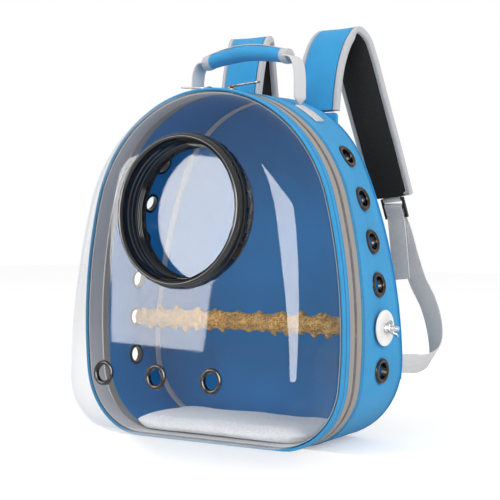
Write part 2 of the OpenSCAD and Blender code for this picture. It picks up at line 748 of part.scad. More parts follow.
// Frame on the top bar's axis, with -Z pointing on along the strap and +Y to the rear
module at_top_bar() {
  translate(strap_end + bar_drop * end_dir) rotate([end_pitch, -end_roll, 0]) children();
}
module adjuster(side) {
  color(black) on_side(side) at_top_bar() {
    translate([-adjuster_w / 2, 0, 0]) rotate([0, 90, 0]) cylinder(r = adjuster_t / 2,
      h = adjuster_w, $fn = 32);
    difference() {
      translate([-adjuster_w / 2, -adjuster_t / 2, bar_w / 2 - adjuster_h])
        cube([adjuster_w, adjuster_t, adjuster_h - bar_w / 2]);
      for (i = [0, 1]) translate([-webbing_w / 2 - 1, -adjuster_t,
        -bar_w / 2 - slot_h - i * (slot_h + bar_w)])
        cube([webbing_w + 2, 2 * adjuster_t, slot_h + (i == 0 ? bar_w : 0)]);
    }
  }
}
module adjuster_left() adjuster(-1);
module adjuster_right() adjuster(1);

module strap_loop(side) {
  r = adjuster_t / 2 + loop_gap;
  color(grey) on_side(side) at_top_bar() translate([-webbing_w / 2, 0, 0]) rotate([0, 90, 0])
    difference() {
      cylinder(r = r + loop_t, h = webbing_w, $fn = 32);
      translate([0, 0, -1]) cylinder(r = r, h = webbing_w + 2, $fn = 32);
    }
}
module strap_loop_left() strap_loop(-1);
module strap_loop_right() strap_loop(1);

// Webbing: a hanging tail, over the ladder-lock's middle bar, down behind the carrier
// and back to the lower corner
function lock_point(y, z) = let (p = end_pitch, q = end_roll, a = y * cos(p) - z * sin(p),
  b = y * sin(p) + z * cos(p), o = strap_end + bar_drop * end_dir)
  [o[0] - b * sin(q), o[1] + a, o[2] + b * cos(q)];
strand = adjuster_t / 2 + webbing_t / 2 + 0.7;
mid_bar = -slot_h - bar_w;
tail_len = 78;
function tail_point(d) =
  [-strand - d * sin(end_pitch), -adjuster_h - d * cos(end_pitch)];
lock_line = [
  tail_point(tail_len), tail_point(tail_len * 0.6), tail_point(tail_len * 0.25),
  [-strand, 2 - adjuster_h], [-strand, mid_bar], [-strand * 0.9, mid_bar + 2.8],
  [-strand * 0.5, mid_bar + 4.7], [0, mid_bar + 5.3], [strand * 0.5, mid_bar + 4.7],
  [strand * 0.9, mid_bar + 2.8], [strand, mid_bar], [strand + 0.4, mid_bar - 18]
];
// Below the lock, from its end; then, backwards, from the anchor
below_lock = [[14, 12, -56], [23, 12, -85], [34, 10, -112]];
above_anchor = [
  [-27, 134, 67], [-15, 128, 39], [-7, 116, 15], [-2, 97, 1], [0, 64, -4], [0, 30, -1], [0, 0, 0]
];
anchor_z = 91;
anchor_t = 3.5;
anchor_end = [half_width(rear_prof, anchor_z) - 12, body_d + gap + anchor_t + 1.1, anchor_z];
webbing_route = concat([for (q = lock_line) lock_point(q[0], q[1])],
  [for (q = below_lock) strap_end + q], [for (q = above_anchor) anchor_end + q]);
module strap_webbing(side) {
  path = curve(webbing_route, 2);
  n = len(path) - 1;
  color(grey) on_side(side) skin([for (i = [0:n]) ribbon_ring(path, i,
    mix([1, 0, 0], [0.3, 0, 0.95], ease((i / n - 0.52) / 0.48)), webbing_w, webbing_t, 0, 0)]);
}
module strap_webbing_left() strap_webbing(-1);
module strap_webbing_right() strap_webbing(1);

// Folded fabric tab that holds the webbing at the lower corner
anchor_h = 34;
module strap_anchor(side) {
  w = 30;
  color(blue) on_side(side) translate([half_width(rear_prof, anchor_z) - 4, body_d + gap, anchor_z])
    rotate([-90, 0, 0]) linear_extrude(anchor_t)
      polygon([[0, -anchor_h / 2], [0, anchor_h / 2], [-w, 4], [-w, -4]]);
}
module strap_anchor_left() strap_anchor(-1);
module strap_anchor_right() strap_anchor(1);

gusset();
back_panel();
back_pads();
base_board();
floor_pad();
rear_seam_binding();
body_zipper_tape();
body_zipper_teeth();
side_grommets_left();
side_grommets_right();
door_band();
door_inner_tape();
clear_shell();
door_zipper_tape();
door_zipper_teeth();
porthole_ring();
porthole_clamp();
porthole_lens();
front_grommets();
hinge_strip();
hinge_tape();
slider_left();
slider_right();
pull_tab_left();
pull_tab_right();
perch();
perch_bolt();
perch_inner_washer();
perch_outer_washer();
wing_nut();
handle_grip();
handle_legs();
handle_tabs();
strap_roots();
strap_skin_left();
strap_pad_left();
strap_binding_left();
strap_loop_left();
adjuster_left();
strap_webbing_left();
strap_anchor_left();
strap_skin_right();
strap_pad_right();
strap_binding_right();
strap_loop_right();
adjuster_right();
strap_webbing_right();
strap_anchor_right();
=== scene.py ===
import math
import bpy
import bmesh
import numpy as np
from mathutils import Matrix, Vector
from mathutils.geometry import tessellate_polygon


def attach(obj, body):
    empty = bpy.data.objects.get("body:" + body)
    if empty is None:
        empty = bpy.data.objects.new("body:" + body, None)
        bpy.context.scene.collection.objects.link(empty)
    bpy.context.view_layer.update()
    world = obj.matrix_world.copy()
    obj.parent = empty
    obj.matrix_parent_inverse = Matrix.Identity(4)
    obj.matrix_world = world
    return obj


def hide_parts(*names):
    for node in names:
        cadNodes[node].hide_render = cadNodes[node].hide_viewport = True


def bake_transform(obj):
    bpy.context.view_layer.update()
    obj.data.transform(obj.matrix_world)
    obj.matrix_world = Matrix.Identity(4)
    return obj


# Bird travel carrier: a fabric backpack body with a clear bubble door.
# Shapes are worked out in metres from the door seam (y = 0) and moved to the frame at the end.
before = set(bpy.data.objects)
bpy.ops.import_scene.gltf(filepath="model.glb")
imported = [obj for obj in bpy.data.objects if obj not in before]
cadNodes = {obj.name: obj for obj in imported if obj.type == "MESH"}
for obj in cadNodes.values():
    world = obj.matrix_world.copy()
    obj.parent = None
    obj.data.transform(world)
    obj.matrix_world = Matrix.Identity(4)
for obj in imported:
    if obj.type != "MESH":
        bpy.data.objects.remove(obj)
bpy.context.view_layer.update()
pi = math.pi
print("frame loaded with", len(cadNodes), "nodes")

body = dict(height=0.420, depth=0.145, seamY=-0.0725, fabric=0.0025, sideStart=0.0415,
            sideEnd=0.1388, front=(0.190, 0.137, 0.176, 0.086), rear=(0.186, 0.084, 0.146, 0.097),
            ground=0.0001, clearance=0.0003)
weldReach = 0.000002  # seam points closer than this become one
waveScale = 0.314159  # gives Blender's wave texture one thread for each unit of length
goldenAngle = 2.39983


# camera, lamps and floor
view = dict(eye=(0.9410, -1.3257, 0.2509), target=(0.0635, -0.0725, 0.2295), lens=95.2)


def makeCamera():
    camera = bpy.data.objects.new("camera", bpy.data.cameras.new("camera"))
    bpy.context.scene.collection.objects.link(camera)
    camera.location = view["eye"]
    camera.rotation_euler = (Vector(view["target"]) - Vector(view["eye"])).to_track_quat("-Z", "Y").to_euler()
    camera.data.lens = view["lens"]
    camera.data.sensor_width = 36
    camera.data.clip_end = 50
    bpy.context.scene.camera = camera
    bpy.context.scene.view_settings.view_transform = "Standard"


def makeLamp(name, place, aim, width, height, watts, mirrored):
    lamp = bpy.data.lights.new(name, "AREA")
    lamp.shape, lamp.size, lamp.size_y, lamp.energy = "RECTANGLE", width, height, watts
    holder = bpy.data.objects.new(name, lamp)
    bpy.context.scene.collection.objects.link(holder)
    holder.location = place
    holder.rotation_euler = (Vector(aim) - Vector(place)).to_track_quat("-Z", "Y").to_euler()
    holder.visible_camera = False
    holder.visible_glossy = mirrored  # the soft lamps light the cloth, the cards only show in shiny surfaces
    holder.visible_diffuse = not mirrored


# adds a node, sets its values, links the sockets that it is given and returns its outputs
def addNode(tree, kind, inputs, **settings):
    node = tree.nodes.new(kind)
    for key, value in settings.items():
        setattr(node, key, value)
    for key, value in inputs.items():
        if isinstance(value, bpy.types.NodeSocket):
            tree.links.new(value, node.inputs[key])
        else:
            node.inputs[key].default_value = value
    return node.outputs


# camera, mirror or see-through ray: the largest of the three Light Path outputs
def seenDirectly(tree):
    path = addNode(tree, "ShaderNodeLightPath", {})
    seen = path["Is Camera Ray"]
    for ray in ("Is Glossy Ray", "Is Transmission Ray"):
        seen = addNode(tree, "ShaderNodeMath", {0: seen, 1: path[ray]}, operation="MAXIMUM")[0]
    return seen


# The floor is a pale table whose edge runs just in front of the door's hinge, so that the open door hangs free,
# and a lower floor before it.
studio = dict(worldLow=0.78, worldHigh=1.0, paper=(0.80, 0.80, 0.80, 1), glow=0.34,
              edge=-0.0440, drop=-0.7, reach=6)
lamps = [
    ("keyLamp", (-1.3, -1.9, 2.1), (0, 0, 0.2), 1.4, 1.4, 32, False),
    ("sideLamp", (2.2, -0.6, 1.3), (0, 0, 0.25), 1.0, 1.4, 24, False),
    ("softboxCard", (-0.784, -1.046, 0.363), (-0.031, -0.121, 0.233), 0.26, 0.40, 4.0, True),
    ("stripCard", (0.20, -1.27, 0.46), (0.14, -0.12, 0.25), 1.10, 0.66, 32, True),
    ("leftCard", (-1.7, -0.25, 0.42), (0, -0.1, 0.25), 0.5, 0.9, 1.2, True),
]


def makeStudio():
    world = bpy.data.worlds.new("studio")
    bpy.context.scene.world = world
    world.use_nodes = True
    tree = world.node_tree
    background = tree.nodes["Background"]
    background.inputs["Color"].default_value = (1, 1, 1, 1)
    inputs = {"Value": seenDirectly(tree), "To Min": studio["worldLow"], "To Max": studio["worldHigh"]}
    strength = addNode(tree, "ShaderNodeMapRange", inputs)
    tree.links.new(strength[0], background.inputs["Strength"])
    for lamp in lamps:
        makeLamp(*lamp)
    edge, drop, reach = studio["edge"], studio["drop"], studio["reach"]
    profile = ((reach, 0), (edge, 0), (edge, drop), (-reach, drop))
    mesh = bpy.data.meshes.new("floor")
    mesh.from_pydata([(x, y, z) for y, z in profile for x in (-reach, reach)], [],
                     [(0, 2, 3, 1), (2, 4, 5, 3), (4, 6, 7, 5)])
    floor = bpy.data.objects.new("floor", mesh)
    bpy.context.scene.collection.objects.link(floor)
    paper = bpy.data.materials.new("studioPaper")
    paper.use_nodes = True
    tree = paper.node_tree
    tree.nodes.clear()
    matt = addNode(tree, "ShaderNodeBsdfDiffuse", {"Color": studio["paper"]})
    level = addNode(tree, "ShaderNodeMath", {0: seenDirectly(tree), 1: studio["glow"]}, operation="MULTIPLY")
    glow = addNode(tree, "ShaderNodeEmission", {"Strength": level[0]})
    both = addNode(tree, "ShaderNodeAddShader", {0: matt[0], 1: glow[0]})
    addNode(tree, "ShaderNodeOutputMaterial", {0: both[0]})
    mesh.materials.append(paper)


makeCamera()
makeStudio()
print("camera, lamps and floor ready")


# finishes
# a colour as seen on screen, 0 to 255, turned to the linear values that shaders take
def paint(red, green, blue):
    seen = np.array([red, green, blue]) / 255
    linear = np.where(seen < 0.04045, seen / 12.92, ((seen + 0.055) / 1.055) ** 2.4)
    return (*[float(value) for value in linear], 1.0)


# the same colour lighter or darker, never above full
def scaled(shade, factor):
    return tuple(min(value * factor, 1) for value in shade[:3]) + (1,)


def grey(level):
    return (level, level, level, 1)


# a material under construction: its node tree, its shader and short ways to add nodes
class Finish:
    def __init__(self, name, roughness, specular=0.4, metallic=0.0):
        self.material = bpy.data.materials.new(name)
        self.material.use_nodes = True
        self.links = self.material.node_tree.links
        self.shader = self.material.node_tree.nodes["Principled BSDF"]
        self.shader.inputs["Roughness"].default_value = roughness
        self.shader.inputs["Specular IOR Level"].default_value = specular
        self.shader.inputs["Metallic"].default_value = metallic
        self.coords = self.add("ShaderNodeTexCoord", {})

    def add(self, kind, inputs, **settings):
        return addNode(self.material.node_tree, kind, inputs, **settings)

    # parallel threads, one each pitch: half a sine wave squared
    def ribs(self, pitch, direction):
        return self.add("ShaderNodeTexWave", {"Vector": self.coords["UV"], "Scale": waveScale / pitch},
                        bands_direction=direction)[0]

    # plain weave: warp and weft threads swap over in a chessboard of cells
    def weave(self, thread):
        squares = self.add("ShaderNodeTexChecker", {"Vector": self.coords["UV"], "Scale": 1 / thread})[1]
        return self.mix(squares, self.ribs(thread, "X"), self.ribs(thread, "Y"))

    def noise(self, scale, detail=3.0):
        place = self.coords["Object"]
        return self.add("ShaderNodeTexNoise", {"Vector": place, "Scale": scale, "Detail": detail})[0]

    def mix(self, factor, first, second, blend="MIX"):
        inputs = {0: factor, 6: first, 7: second}
        return self.add("ShaderNodeMix", inputs, data_type="RGBA", blend_type=blend)[2]

    def ramp(self, factor, low, high, start=0.0, end=1.0):
        outputs = self.add("ShaderNodeValToRGB", {0: factor})
        stops = outputs[0].node.color_ramp.elements
        stops[0].position, stops[1].position = start, end
        stops[0].color, stops[1].color = low, high
        return outputs[0]

    def bump(self, height, distance, strength=1.0):
        raised = self.add("ShaderNodeBump", {"Height": height, "Distance": distance, "Strength": strength})
        self.links.new(raised[0], self.shader.inputs["Normal"])

    def colour(self, socket):
        self.links.new(socket, self.shader.inputs["Base Color"])

    def rough(self, socket):
        self.links.new(socket, self.shader.inputs["Roughness"])


# woven cloth: threads lighter on top and darker between, a painted highlight and painted shade that follow the
# weave's bump, with slow uneven dye
def wovenCloth(name, shade, thread, threadShade=0.22, bump=0.00035, roughness=0.85, sheen=0.15, blotch=0.10):
    cloth = Finish(name, roughness, 0.25)
    cloth.shader.inputs["Sheen Weight"].default_value = sheen
    cloth.shader.inputs["Sheen Roughness"].default_value = 0.5
    weave = cloth.weave(thread)
    # thread tops lighter and the gaps between threads darker: painted highlight and painted shade along the
    # weave's height
    low = scaled(shade, 1 - threadShade)
    high = scaled(shade, 1 + threadShade * 0.5)
    threads = cloth.ramp(weave, low, high)
    dye = cloth.ramp(cloth.noise(26, 4), grey(1 - blotch), grey(1 + blotch * 0.3), 0.3, 0.75)
    cloth.colour(cloth.mix(1.0, threads, dye, "MULTIPLY"))
    cloth.bump(weave, bump, 0.8)
    return cloth.material


# grosgrain tape: strong ribs over a fine weave, darker in the low parts between them: painted shade
def ribbedTape(name, shade, rib, thread=0.0011, direction="Y"):
    tape = Finish(name, 0.8, 0.3)
    tape.shader.inputs["Sheen Weight"].default_value = 0.1
    ribs, weave = tape.ribs(rib, direction), tape.weave(thread)
    height = tape.mix(0.35, ribs, weave)
    # the low parts of the ribs and weave are darker: painted shade between the threads
    low = scaled(shade, 0.76)
    tape.colour(tape.mix(tape.noise(60), tape.ramp(height, low, shade),
                         tape.ramp(height, scaled(low, 0.9), shade)))
    tape.bump(height, 0.0005, 0.9)
    return tape.material


# webbing: herringbone threads from two crossed waves on the strap's own lengths, darker where they are low:
# painted shade between the threads
def webbingCloth(name, shade):
    web = Finish(name, 0.75, 0.3)
    diagonal = web.add("ShaderNodeMapping", {"Vector": web.coords["UV"], "Rotation": (0, 0, 0.6)})[0]
    scale = waveScale / 0.0021
    twill = web.add("ShaderNodeTexWave", {"Vector": diagonal, "Scale": scale}, bands_direction="X")[0]
    rows = web.ribs(0.0016, "Y")
    height = web.mix(0.5, twill, rows)
    # the low parts of the twill are darker: painted shade between the threads
    low = scaled(shade, 0.7)
    web.colour(web.ramp(height, low, shade, 0.1, 0.8))
    web.bump(height, 0.0006, 0.9)
    return web.material


# spacer mesh: round eyes in a staggered net, darker inside each eye: painted shade in the holes
def airMesh(name, shade, cell):
    net = Finish(name, 0.8, 0.3)
    inputs = {"Vector": net.coords["UV"], "Scale": 1 / cell, "Randomness": 0.12}
    eyes = net.add("ShaderNodeTexVoronoi", inputs)[0]
    # the middle of each eye is darkest: painted shade down the hole
    low = scaled(shade, 0.3)
    net.colour(net.ramp(eyes, low, shade, 0.15, 0.5))
    net.bump(eyes, 0.0008, 1.0)
    net.shader.inputs["Sheen Weight"].default_value = 0.08
    return net.material


# dark plated metal: smooth, with fine rubbed streaks that are lighter and duller
def gunmetal(name, shade, roughness, wear):
    metal = Finish(name, roughness, 0.5, 1.0)
    rubbed = metal.noise(240, 5)
    metal.colour(metal.ramp(rubbed, shade, scaled(shade, wear), 0.45, 0.75))
    metal.rough(metal.ramp(rubbed, grey(roughness), grey(roughness + 0.16), 0.4, 0.8))
    metal.bump(rubbed, 0.00005, 0.4)
    return metal.material


# moulded plastic: even colour, faint flow marks in the gloss and a fine grain
def mouldedPlastic(name, shade, roughness, grain, depth):
    plastic = Finish(name, roughness, 0.5)
    flow = plastic.noise(35, 3)
    plastic.colour(plastic.ramp(flow, scaled(shade, 0.82), shade, 0.3, 0.7))
    plastic.rough(plastic.ramp(flow, grey(roughness * 0.8), grey(roughness * 1.3)))
    plastic.bump(plastic.noise(grain, 2), depth, 0.5)
    return plastic.material


# clear sheet: see-through, with a mirror that grows from its shine to its edge value with a power of the slant
def clearPlastic(name, tint, shine, edge=0.34, power=4.2, roughness=0.03):
    clear = bpy.data.materials.new(name)
    clear.use_nodes = True
    tree = clear.node_tree
    tree.nodes.clear()
    through = addNode(tree, "ShaderNodeBsdfTransparent", {"Color": tint})
    mirror = addNode(tree, "ShaderNodeBsdfGlossy", {"Roughness": roughness, "Color": (1, 1, 1, 1)})
    slant = addNode(tree, "ShaderNodeLayerWeight", {"Blend": 0.5})["Facing"]
    grown = addNode(tree, "ShaderNodeMath", {0: slant, 1: power}, operation="POWER")
    level = addNode(tree, "ShaderNodeMath", {0: grown[0], 1: edge, 2: shine}, operation="MULTIPLY_ADD")
    blend = addNode(tree, "ShaderNodeMixShader", {0: level[0], 1: through[0], 2: mirror[0]})
    addNode(tree, "ShaderNodeOutputMaterial", {0: blend[0]})
    return clear


# coarse sand glued on a rod: grey-brown gravel near the axis, golden knobs further out; the darker colour low
# between the knobs is partly painted shade in the hollows
def gritCoat(name, axisY, axisZ, low, high):
    grit = Finish(name, 0.85, 0.3)
    grains = grit.add("ShaderNodeTexVoronoi", {"Vector": grit.coords["Object"], "Scale": 500.0})
    picked = grit.add("ShaderNodeSeparateColor", {0: grains[1]})[0]
    gravel = grit.ramp(picked, paint(40, 28, 16), paint(232, 206, 160))
    gravel.node.color_ramp.elements.new(0.4).color = paint(112, 86, 54)
    gravel.node.color_ramp.elements.new(0.75).color = paint(176, 144, 98)
    gold = grit.ramp(picked, paint(166, 112, 42), paint(244, 202, 122))
    toAxis = {0: grit.coords["Object"], 1: (0, -axisY, -axisZ)}
    fromAxis = grit.add("ShaderNodeVectorMath", toAxis, operation="ADD")[0]
    across = grit.add("ShaderNodeVectorMath", {0: fromAxis, 1: (0, 1, 1)}, operation="MULTIPLY")[0]
    distance = grit.add("ShaderNodeVectorMath", {0: across}, operation="LENGTH")[1]
    # colour follows the height above the rod: darker gravel in the hollows, partly painted shade, and golden on
    # the knobs
    share = grit.add("ShaderNodeMapRange", {0: distance, 1: low, 2: high})[0]
    coat = grit.mix(share, gravel, gold)
    patches = grit.ramp(grit.noise(60, 5), (0.72, 0.70, 0.68, 1), (1.06, 1.03, 1.0, 1), 0.35, 0.62)
    grit.colour(grit.mix(1.0, coat, patches, "MULTIPLY"))
    grit.bump(grains[0], 0.0012, 1.0)
    return grit.material


# soft pad cover: short pile, uneven in tone, with a woolly bump; the tone follows the pile's height, so it is
# partly random tone and partly painted shade in the low pile
def fleece(name, shade):
    pile = Finish(name, 0.95, 0.15)
    pile.shader.inputs["Sheen Weight"].default_value = 0.4
    tufts = pile.noise(420, 5)
    # darker where the tufts are low, the same noise that raises the bump: partly painted shade in the pile
    pile.colour(pile.ramp(tufts, scaled(shade, 0.84), shade, 0.3, 0.62))
    pile.bump(pile.mix(0.4, tufts, pile.noise(70, 3)), 0.0012, 0.8)
    return pile.material


finishes = dict(
    skyCloth=wovenCloth("skyCloth", paint(50, 164, 224), 0.0012),
    # the same blue cloth made darker and without sheen for the inner faces: painted shade of the carrier's
    # inside
    shadedLining=wovenCloth("shadedLining", paint(2, 130, 204), 0.0012, sheen=0.0),
    greyBinding=ribbedTape("greyBinding", paint(210, 211, 215), 0.0015),
    zipTape=ribbedTape("zipTape", paint(176, 171, 165), 0.0011, 0.0008, "X"),
    webbing=webbingCloth("webbing", paint(230, 229, 230)),
    netCloth=airMesh("netCloth", paint(20, 20, 22), 0.0032),
    padPile=fleece("padPile", paint(246, 249, 252)),
    boardFelt=mouldedPlastic("boardFelt", paint(150, 152, 156), 0.6, 900, 0.0002),
    zipTeeth=gunmetal("zipTeeth", paint(150, 138, 130), 0.35, 1.5),
    eyeletMetal=gunmetal("eyeletMetal", paint(58, 55, 54), 0.16, 1.8),
    zipMetal=gunmetal("zipMetal", paint(120, 112, 108), 0.2, 1.6),
    steel=gunmetal("steel", paint(196, 196, 198), 0.25, 1.15),
    washerPlastic=mouldedPlastic("washerPlastic", paint(244, 244, 242), 0.3, 400, 0.00008),
    clearShell=clearPlastic("clearShell", (0.958, 0.959, 0.962, 1), 0.016),
    clearLens=clearPlastic("clearLens", (0.95, 0.97, 0.98, 1), 0.022),
    ringBlack=mouldedPlastic("ringBlack", paint(20, 20, 22), 0.09, 300, 0.00004),
    buckleBlack=mouldedPlastic("buckleBlack", paint(32, 32, 34), 0.4, 1500, 0.0001),
    skyThread=wovenCloth("skyThread", paint(40, 124, 184), 0.0004),
    greyThread=wovenCloth("greyThread", paint(214, 214, 216), 0.0004),
)
print("finishes ready:", len(finishes))


# surfaces
# evenly spaced angles once round, without the last
def fullTurn(count):
    return np.linspace(0, 2 * pi, count, endpoint=False)


def ringOf(points):
    return np.concatenate([points, points[:1]])


# length along a path at each of its points
def runLengths(path):
    return np.concatenate([[0], np.cumsum(np.linalg.norm(np.diff(path, axis=0), axis=1))])


# values at some places along a path whose lengths are known
def valuesAt(places, lengths, values):
    return np.stack([np.interp(places, lengths, values[:, k]) for k in range(3)], 1)


# sine or cosine values pushed out to a squarer loop
def squared(wave, power):
    return np.sign(wave) * np.abs(wave) ** power


# share of the way back along the side panel
def sideShare(y):
    return (y - body["sideStart"]) / (body["sideEnd"] - body["sideStart"])


# quads and triangles with no surface grid behind them
def looseFaces(verts, quads=None, tris=None, quadUv=None, triUv=None):
    quads = np.zeros((0, 4), int) if quads is None else quads
    tris = np.zeros((0, 3), int) if tris is None else tris
    return dict(verts=verts, quads=quads, tris=tris, slot=0,
                quadUv=np.zeros((len(quads), 4, 2)) if quadUv is None else quadUv,
                triUv=np.zeros((len(tris), 3, 2)) if triUv is None else triUv)


# surface on a grid of two parameters; lengths along both become its UV map in metres
def gridPatch(points, wrapU=False, wrapV=False, capStart=False, capEnd=False, slot=0):
    countU, countV = points.shape[:2]
    spanU = ringOf(points) if wrapU else points
    spanV = np.concatenate([points, points[:, :1]], 1) if wrapV else points
    u = np.concatenate([[0], np.cumsum(np.linalg.norm(np.diff(spanU, axis=0), axis=2).mean(1))])
    v = np.concatenate([[0], np.cumsum(np.linalg.norm(np.diff(spanV, axis=1), axis=2).mean(0))])
    i, j = np.meshgrid(np.arange(len(u) - 1), np.arange(len(v) - 1), indexing="ij")
    i1, j1 = (i + 1) % countU, (j + 1) % countV
    quads = np.stack([i * countV + j, i1 * countV + j, i1 * countV + j1, i * countV + j1], -1).reshape(-1, 4)
    quadUv = np.stack([np.stack([u[i], v[j]], -1), np.stack([u[i + 1], v[j]], -1),
                       np.stack([u[i + 1], v[j + 1]], -1), np.stack([u[i], v[j + 1]], -1)], 2).reshape(-1, 4, 2)
    verts, tris, triUv = points.reshape(-1, 3), [], []
    for at, wanted in ((0, capStart), (countU - 1, capEnd)):
        if not wanted:
            continue
        rim = at * countV + np.arange(countV)
        nextRim = at * countV + (np.arange(countV) + 1) % countV
        if at:
            rim, nextRim = nextRim, rim
        centre = np.full(countV, len(verts))
        middle = points[at].mean(0)
        verts = np.concatenate([verts, middle[None]])
        fan = np.stack([centre, rim, nextRim], 1)
        axis = np.linalg.svd(points[at] - middle)[2][:2]  # the cap's own two main directions
        tris.append(fan)
        triUv.append((verts[fan] - middle) @ axis.T)
    return dict(verts=verts, quads=quads, quadUv=quadUv, slot=slot,
                tris=np.concatenate(tris) if tris else np.zeros((0, 3), int),
                triUv=np.concatenate(triUv) if triUv else np.zeros((0, 3, 2)))


# a tube round a row of rings, closed at both ends
def tubePatch(rings, slot=0):
    return gridPatch(rings, wrapV=True, capStart=True, capEnd=True, slot=slot)


# the patch with its faces turned to the other side
def turned(patch):
    return dict(patch, **{key: patch[key][:, ::-1] for key in ("quads", "tris", "quadUv", "triUv")})


# the same patch on the left side, with its faces turned so that they still point outwards
def mirrored(patch):
    return dict(turned(patch), verts=patch["verts"] * [-1, 1, 1])


# patches made for the right side, as they are there or mirrored to the left
def sided(patches, side):
    return patches if side > 0 else [mirrored(patch) for patch in patches]


def bothSides(patches):
    return patches + sided(patches, -1)


# joins patches to one mesh, turns it outwards by its signed volume and welds its seams
def makePiece(name, patches, materials, sharp=40, weld=True):
    offsets = np.cumsum([0] + [len(patch["verts"]) for patch in patches])
    verts = np.concatenate([patch["verts"] for patch in patches])
    quads, tris = (np.concatenate([patch[kind] + start for patch, start in zip(patches, offsets)])
                   for kind in ("quads", "tris"))
    quadUv, triUv = (np.concatenate([patch[kind] for patch in patches]) for kind in ("quadUv", "triUv"))
    slots = np.concatenate([np.full(len(patch[kind]), patch["slot"]) for kind in ("quads", "tris")
                            for patch in patches])
    halves = np.concatenate([quads[:, :3], quads[:, [0, 2, 3]], tris])
    a, b, c = (verts[halves[:, k]] for k in range(3))
    if (a * np.cross(b, c)).sum() < 0:
        quads, tris, quadUv, triUv = quads[:, ::-1], tris[:, ::-1], quadUv[:, ::-1], triUv[:, ::-1]
    verts = verts + [0, body["seamY"], 0]
    mesh = bpy.data.meshes.new(name)
    loops = np.concatenate([quads.ravel(), tris.ravel()])
    starts = np.concatenate([np.arange(len(quads)) * 4, 4 * len(quads) + np.arange(len(tris)) * 3])
    mesh.vertices.add(len(verts))
    mesh.vertices.foreach_set("co", verts.astype(np.float32).ravel())
    mesh.loops.add(len(loops))
    mesh.loops.foreach_set("vertex_index", loops.astype(np.int32))
    mesh.polygons.add(len(starts))
    mesh.polygons.foreach_set("loop_start", starts.astype(np.int32))
    mesh.polygons.foreach_set("material_index", slots.astype(np.int32))
    mesh.polygons.foreach_set("use_smooth", np.ones(len(starts), bool))
    layer = mesh.uv_layers.new(name="UVMap")
    uv = np.concatenate([quadUv.ravel(), triUv.ravel()])
    layer.data.foreach_set("uv", uv.astype(np.float32))
    mesh.update(calc_edges=True)
    mesh.validate()
    if weld:
        weldSeams(mesh)
    mesh.set_sharp_from_angle(angle=math.radians(sharp))
    piece = bpy.data.objects.new(name, mesh)
    bpy.context.scene.collection.objects.link(piece)
    for material in materials:
        mesh.materials.append(finishes[material])
    return piece


# joins the points where two patches meet
def weldSeams(mesh):
    work = bmesh.new()
    work.from_mesh(mesh)
    bmesh.ops.remove_doubles(work, verts=work.verts, dist=weldReach)
    work.to_mesh(mesh)
    work.free()


# rides on a body and stands for its CAD nodes
def fit(piece, bodyName, slotName, *cadNames):
    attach(piece, bodyName)
    if cadNames:
        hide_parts(*cadNames)
    return piece


# makes a piece and fits it
def sew(name, patches, materials, bodyName, slotName, *cadNames, sharp=40, weld=True):
    return fit(makePiece(name, patches, materials, sharp, weld), bodyName, slotName, *cadNames)


# closed rounded rectangle in two coordinates, anticlockwise, with quarter-circle corners
def roundedSection(low0, high0, low1, high1, radius, steps=3):
    turn = np.linspace(0, pi / 2, steps + 1)
    corners = [(high0 - radius, high1 - radius, 0), (low0 + radius, high1 - radius, pi / 2),
               (low0 + radius, low1 + radius, pi), (high0 - radius, low1 + radius, 3 * pi / 2)]
    return np.concatenate([np.stack([x + radius * np.cos(turn + a), y + radius * np.sin(turn + a)], 1)
                           for x, y, a in corners])


# smooth curve through the points, as part.scad has it: a cubic between each pair
def smoothPath(points, steps):
    points = np.array(points, float)
    a = np.concatenate([points[:1], points[:-2]])[:, None]
    b, c = points[:-1][:, None], points[1:][:, None]
    d = np.concatenate([points[2:], points[-1:]])[:, None]
    t = (np.arange(steps) / steps)[None, :, None]
    spans = 0.5 * (2 * b + (c - a) * t + (2 * a - 5 * b + 4 * c - d) * t * t + (3 * b - a - 3 * c + d) * t ** 3)
    return np.concatenate([spans.reshape(-1, 3), points[-1:]])


def unit(vectors):
    return vectors / np.linalg.norm(vectors, axis=-1, keepdims=True)


# along, across and outward directions at each point; across is squared to the path
def pathFrames(path, across):
    along = np.empty_like(path)
    along[1:-1] = path[2:] - path[:-2]
    along[0], along[-1] = path[1] - path[0], path[-1] - path[-2]
    along = unit(along)
    across = np.broadcast_to(across, path.shape)
    across = unit(across - (across * along).sum(1, keepdims=True) * along)
    return along, across, np.cross(along, across)


# a closed section of (across, outward) pairs carried along a path
def sweepPatch(path, across, section, slot=0, scale=None):
    _, side, up = pathFrames(path, across)
    sections = np.broadcast_to(section, (len(path),) + section.shape[-2:])
    if scale is not None:
        sections = sections * scale
    points = path[:, None] + sections[..., :1] * side[:, None] + sections[..., 1:] * up[:, None]
    return tubePatch(points, slot)


# a profile of (radius, height) turned about an axis; start is where the turn begins
def revolvePatch(profile, centre, axis, start, segments):
    axis, start = unit(np.array(axis, float)), unit(np.array(start, float))
    third = np.cross(axis, start)
    angle = fullTurn(segments)
    spokes = np.cos(angle)[:, None] * start + np.sin(angle)[:, None] * third
    profile = np.array(profile, float)
    points = np.array(centre) + profile[None, :, :1] * spokes[:, None] + profile[None, :, 1:] * axis
    return gridPatch(points, wrapU=True, wrapV=True)


# quads round a drum of rings with the same number of points, and its listed end faces
def drumFaces(rings, spokes, ends):
    ring, spoke = np.meshgrid(np.arange(rings), np.arange(spokes), indexing="ij")
    after = (spoke + 1) % spokes
    sides = [ring * spokes + spoke, ring * spokes + after, (ring + 1) * spokes + after,
             (ring + 1) * spokes + spoke]
    return np.concatenate([np.stack(sides, -1).reshape(-1, 4), ends])


# the same faces again for each of many equal lumps of so many points
def repeatedFaces(faces, count, points):
    return (faces[None] + (np.arange(count) * points)[:, None, None]).reshape(-1, 4)


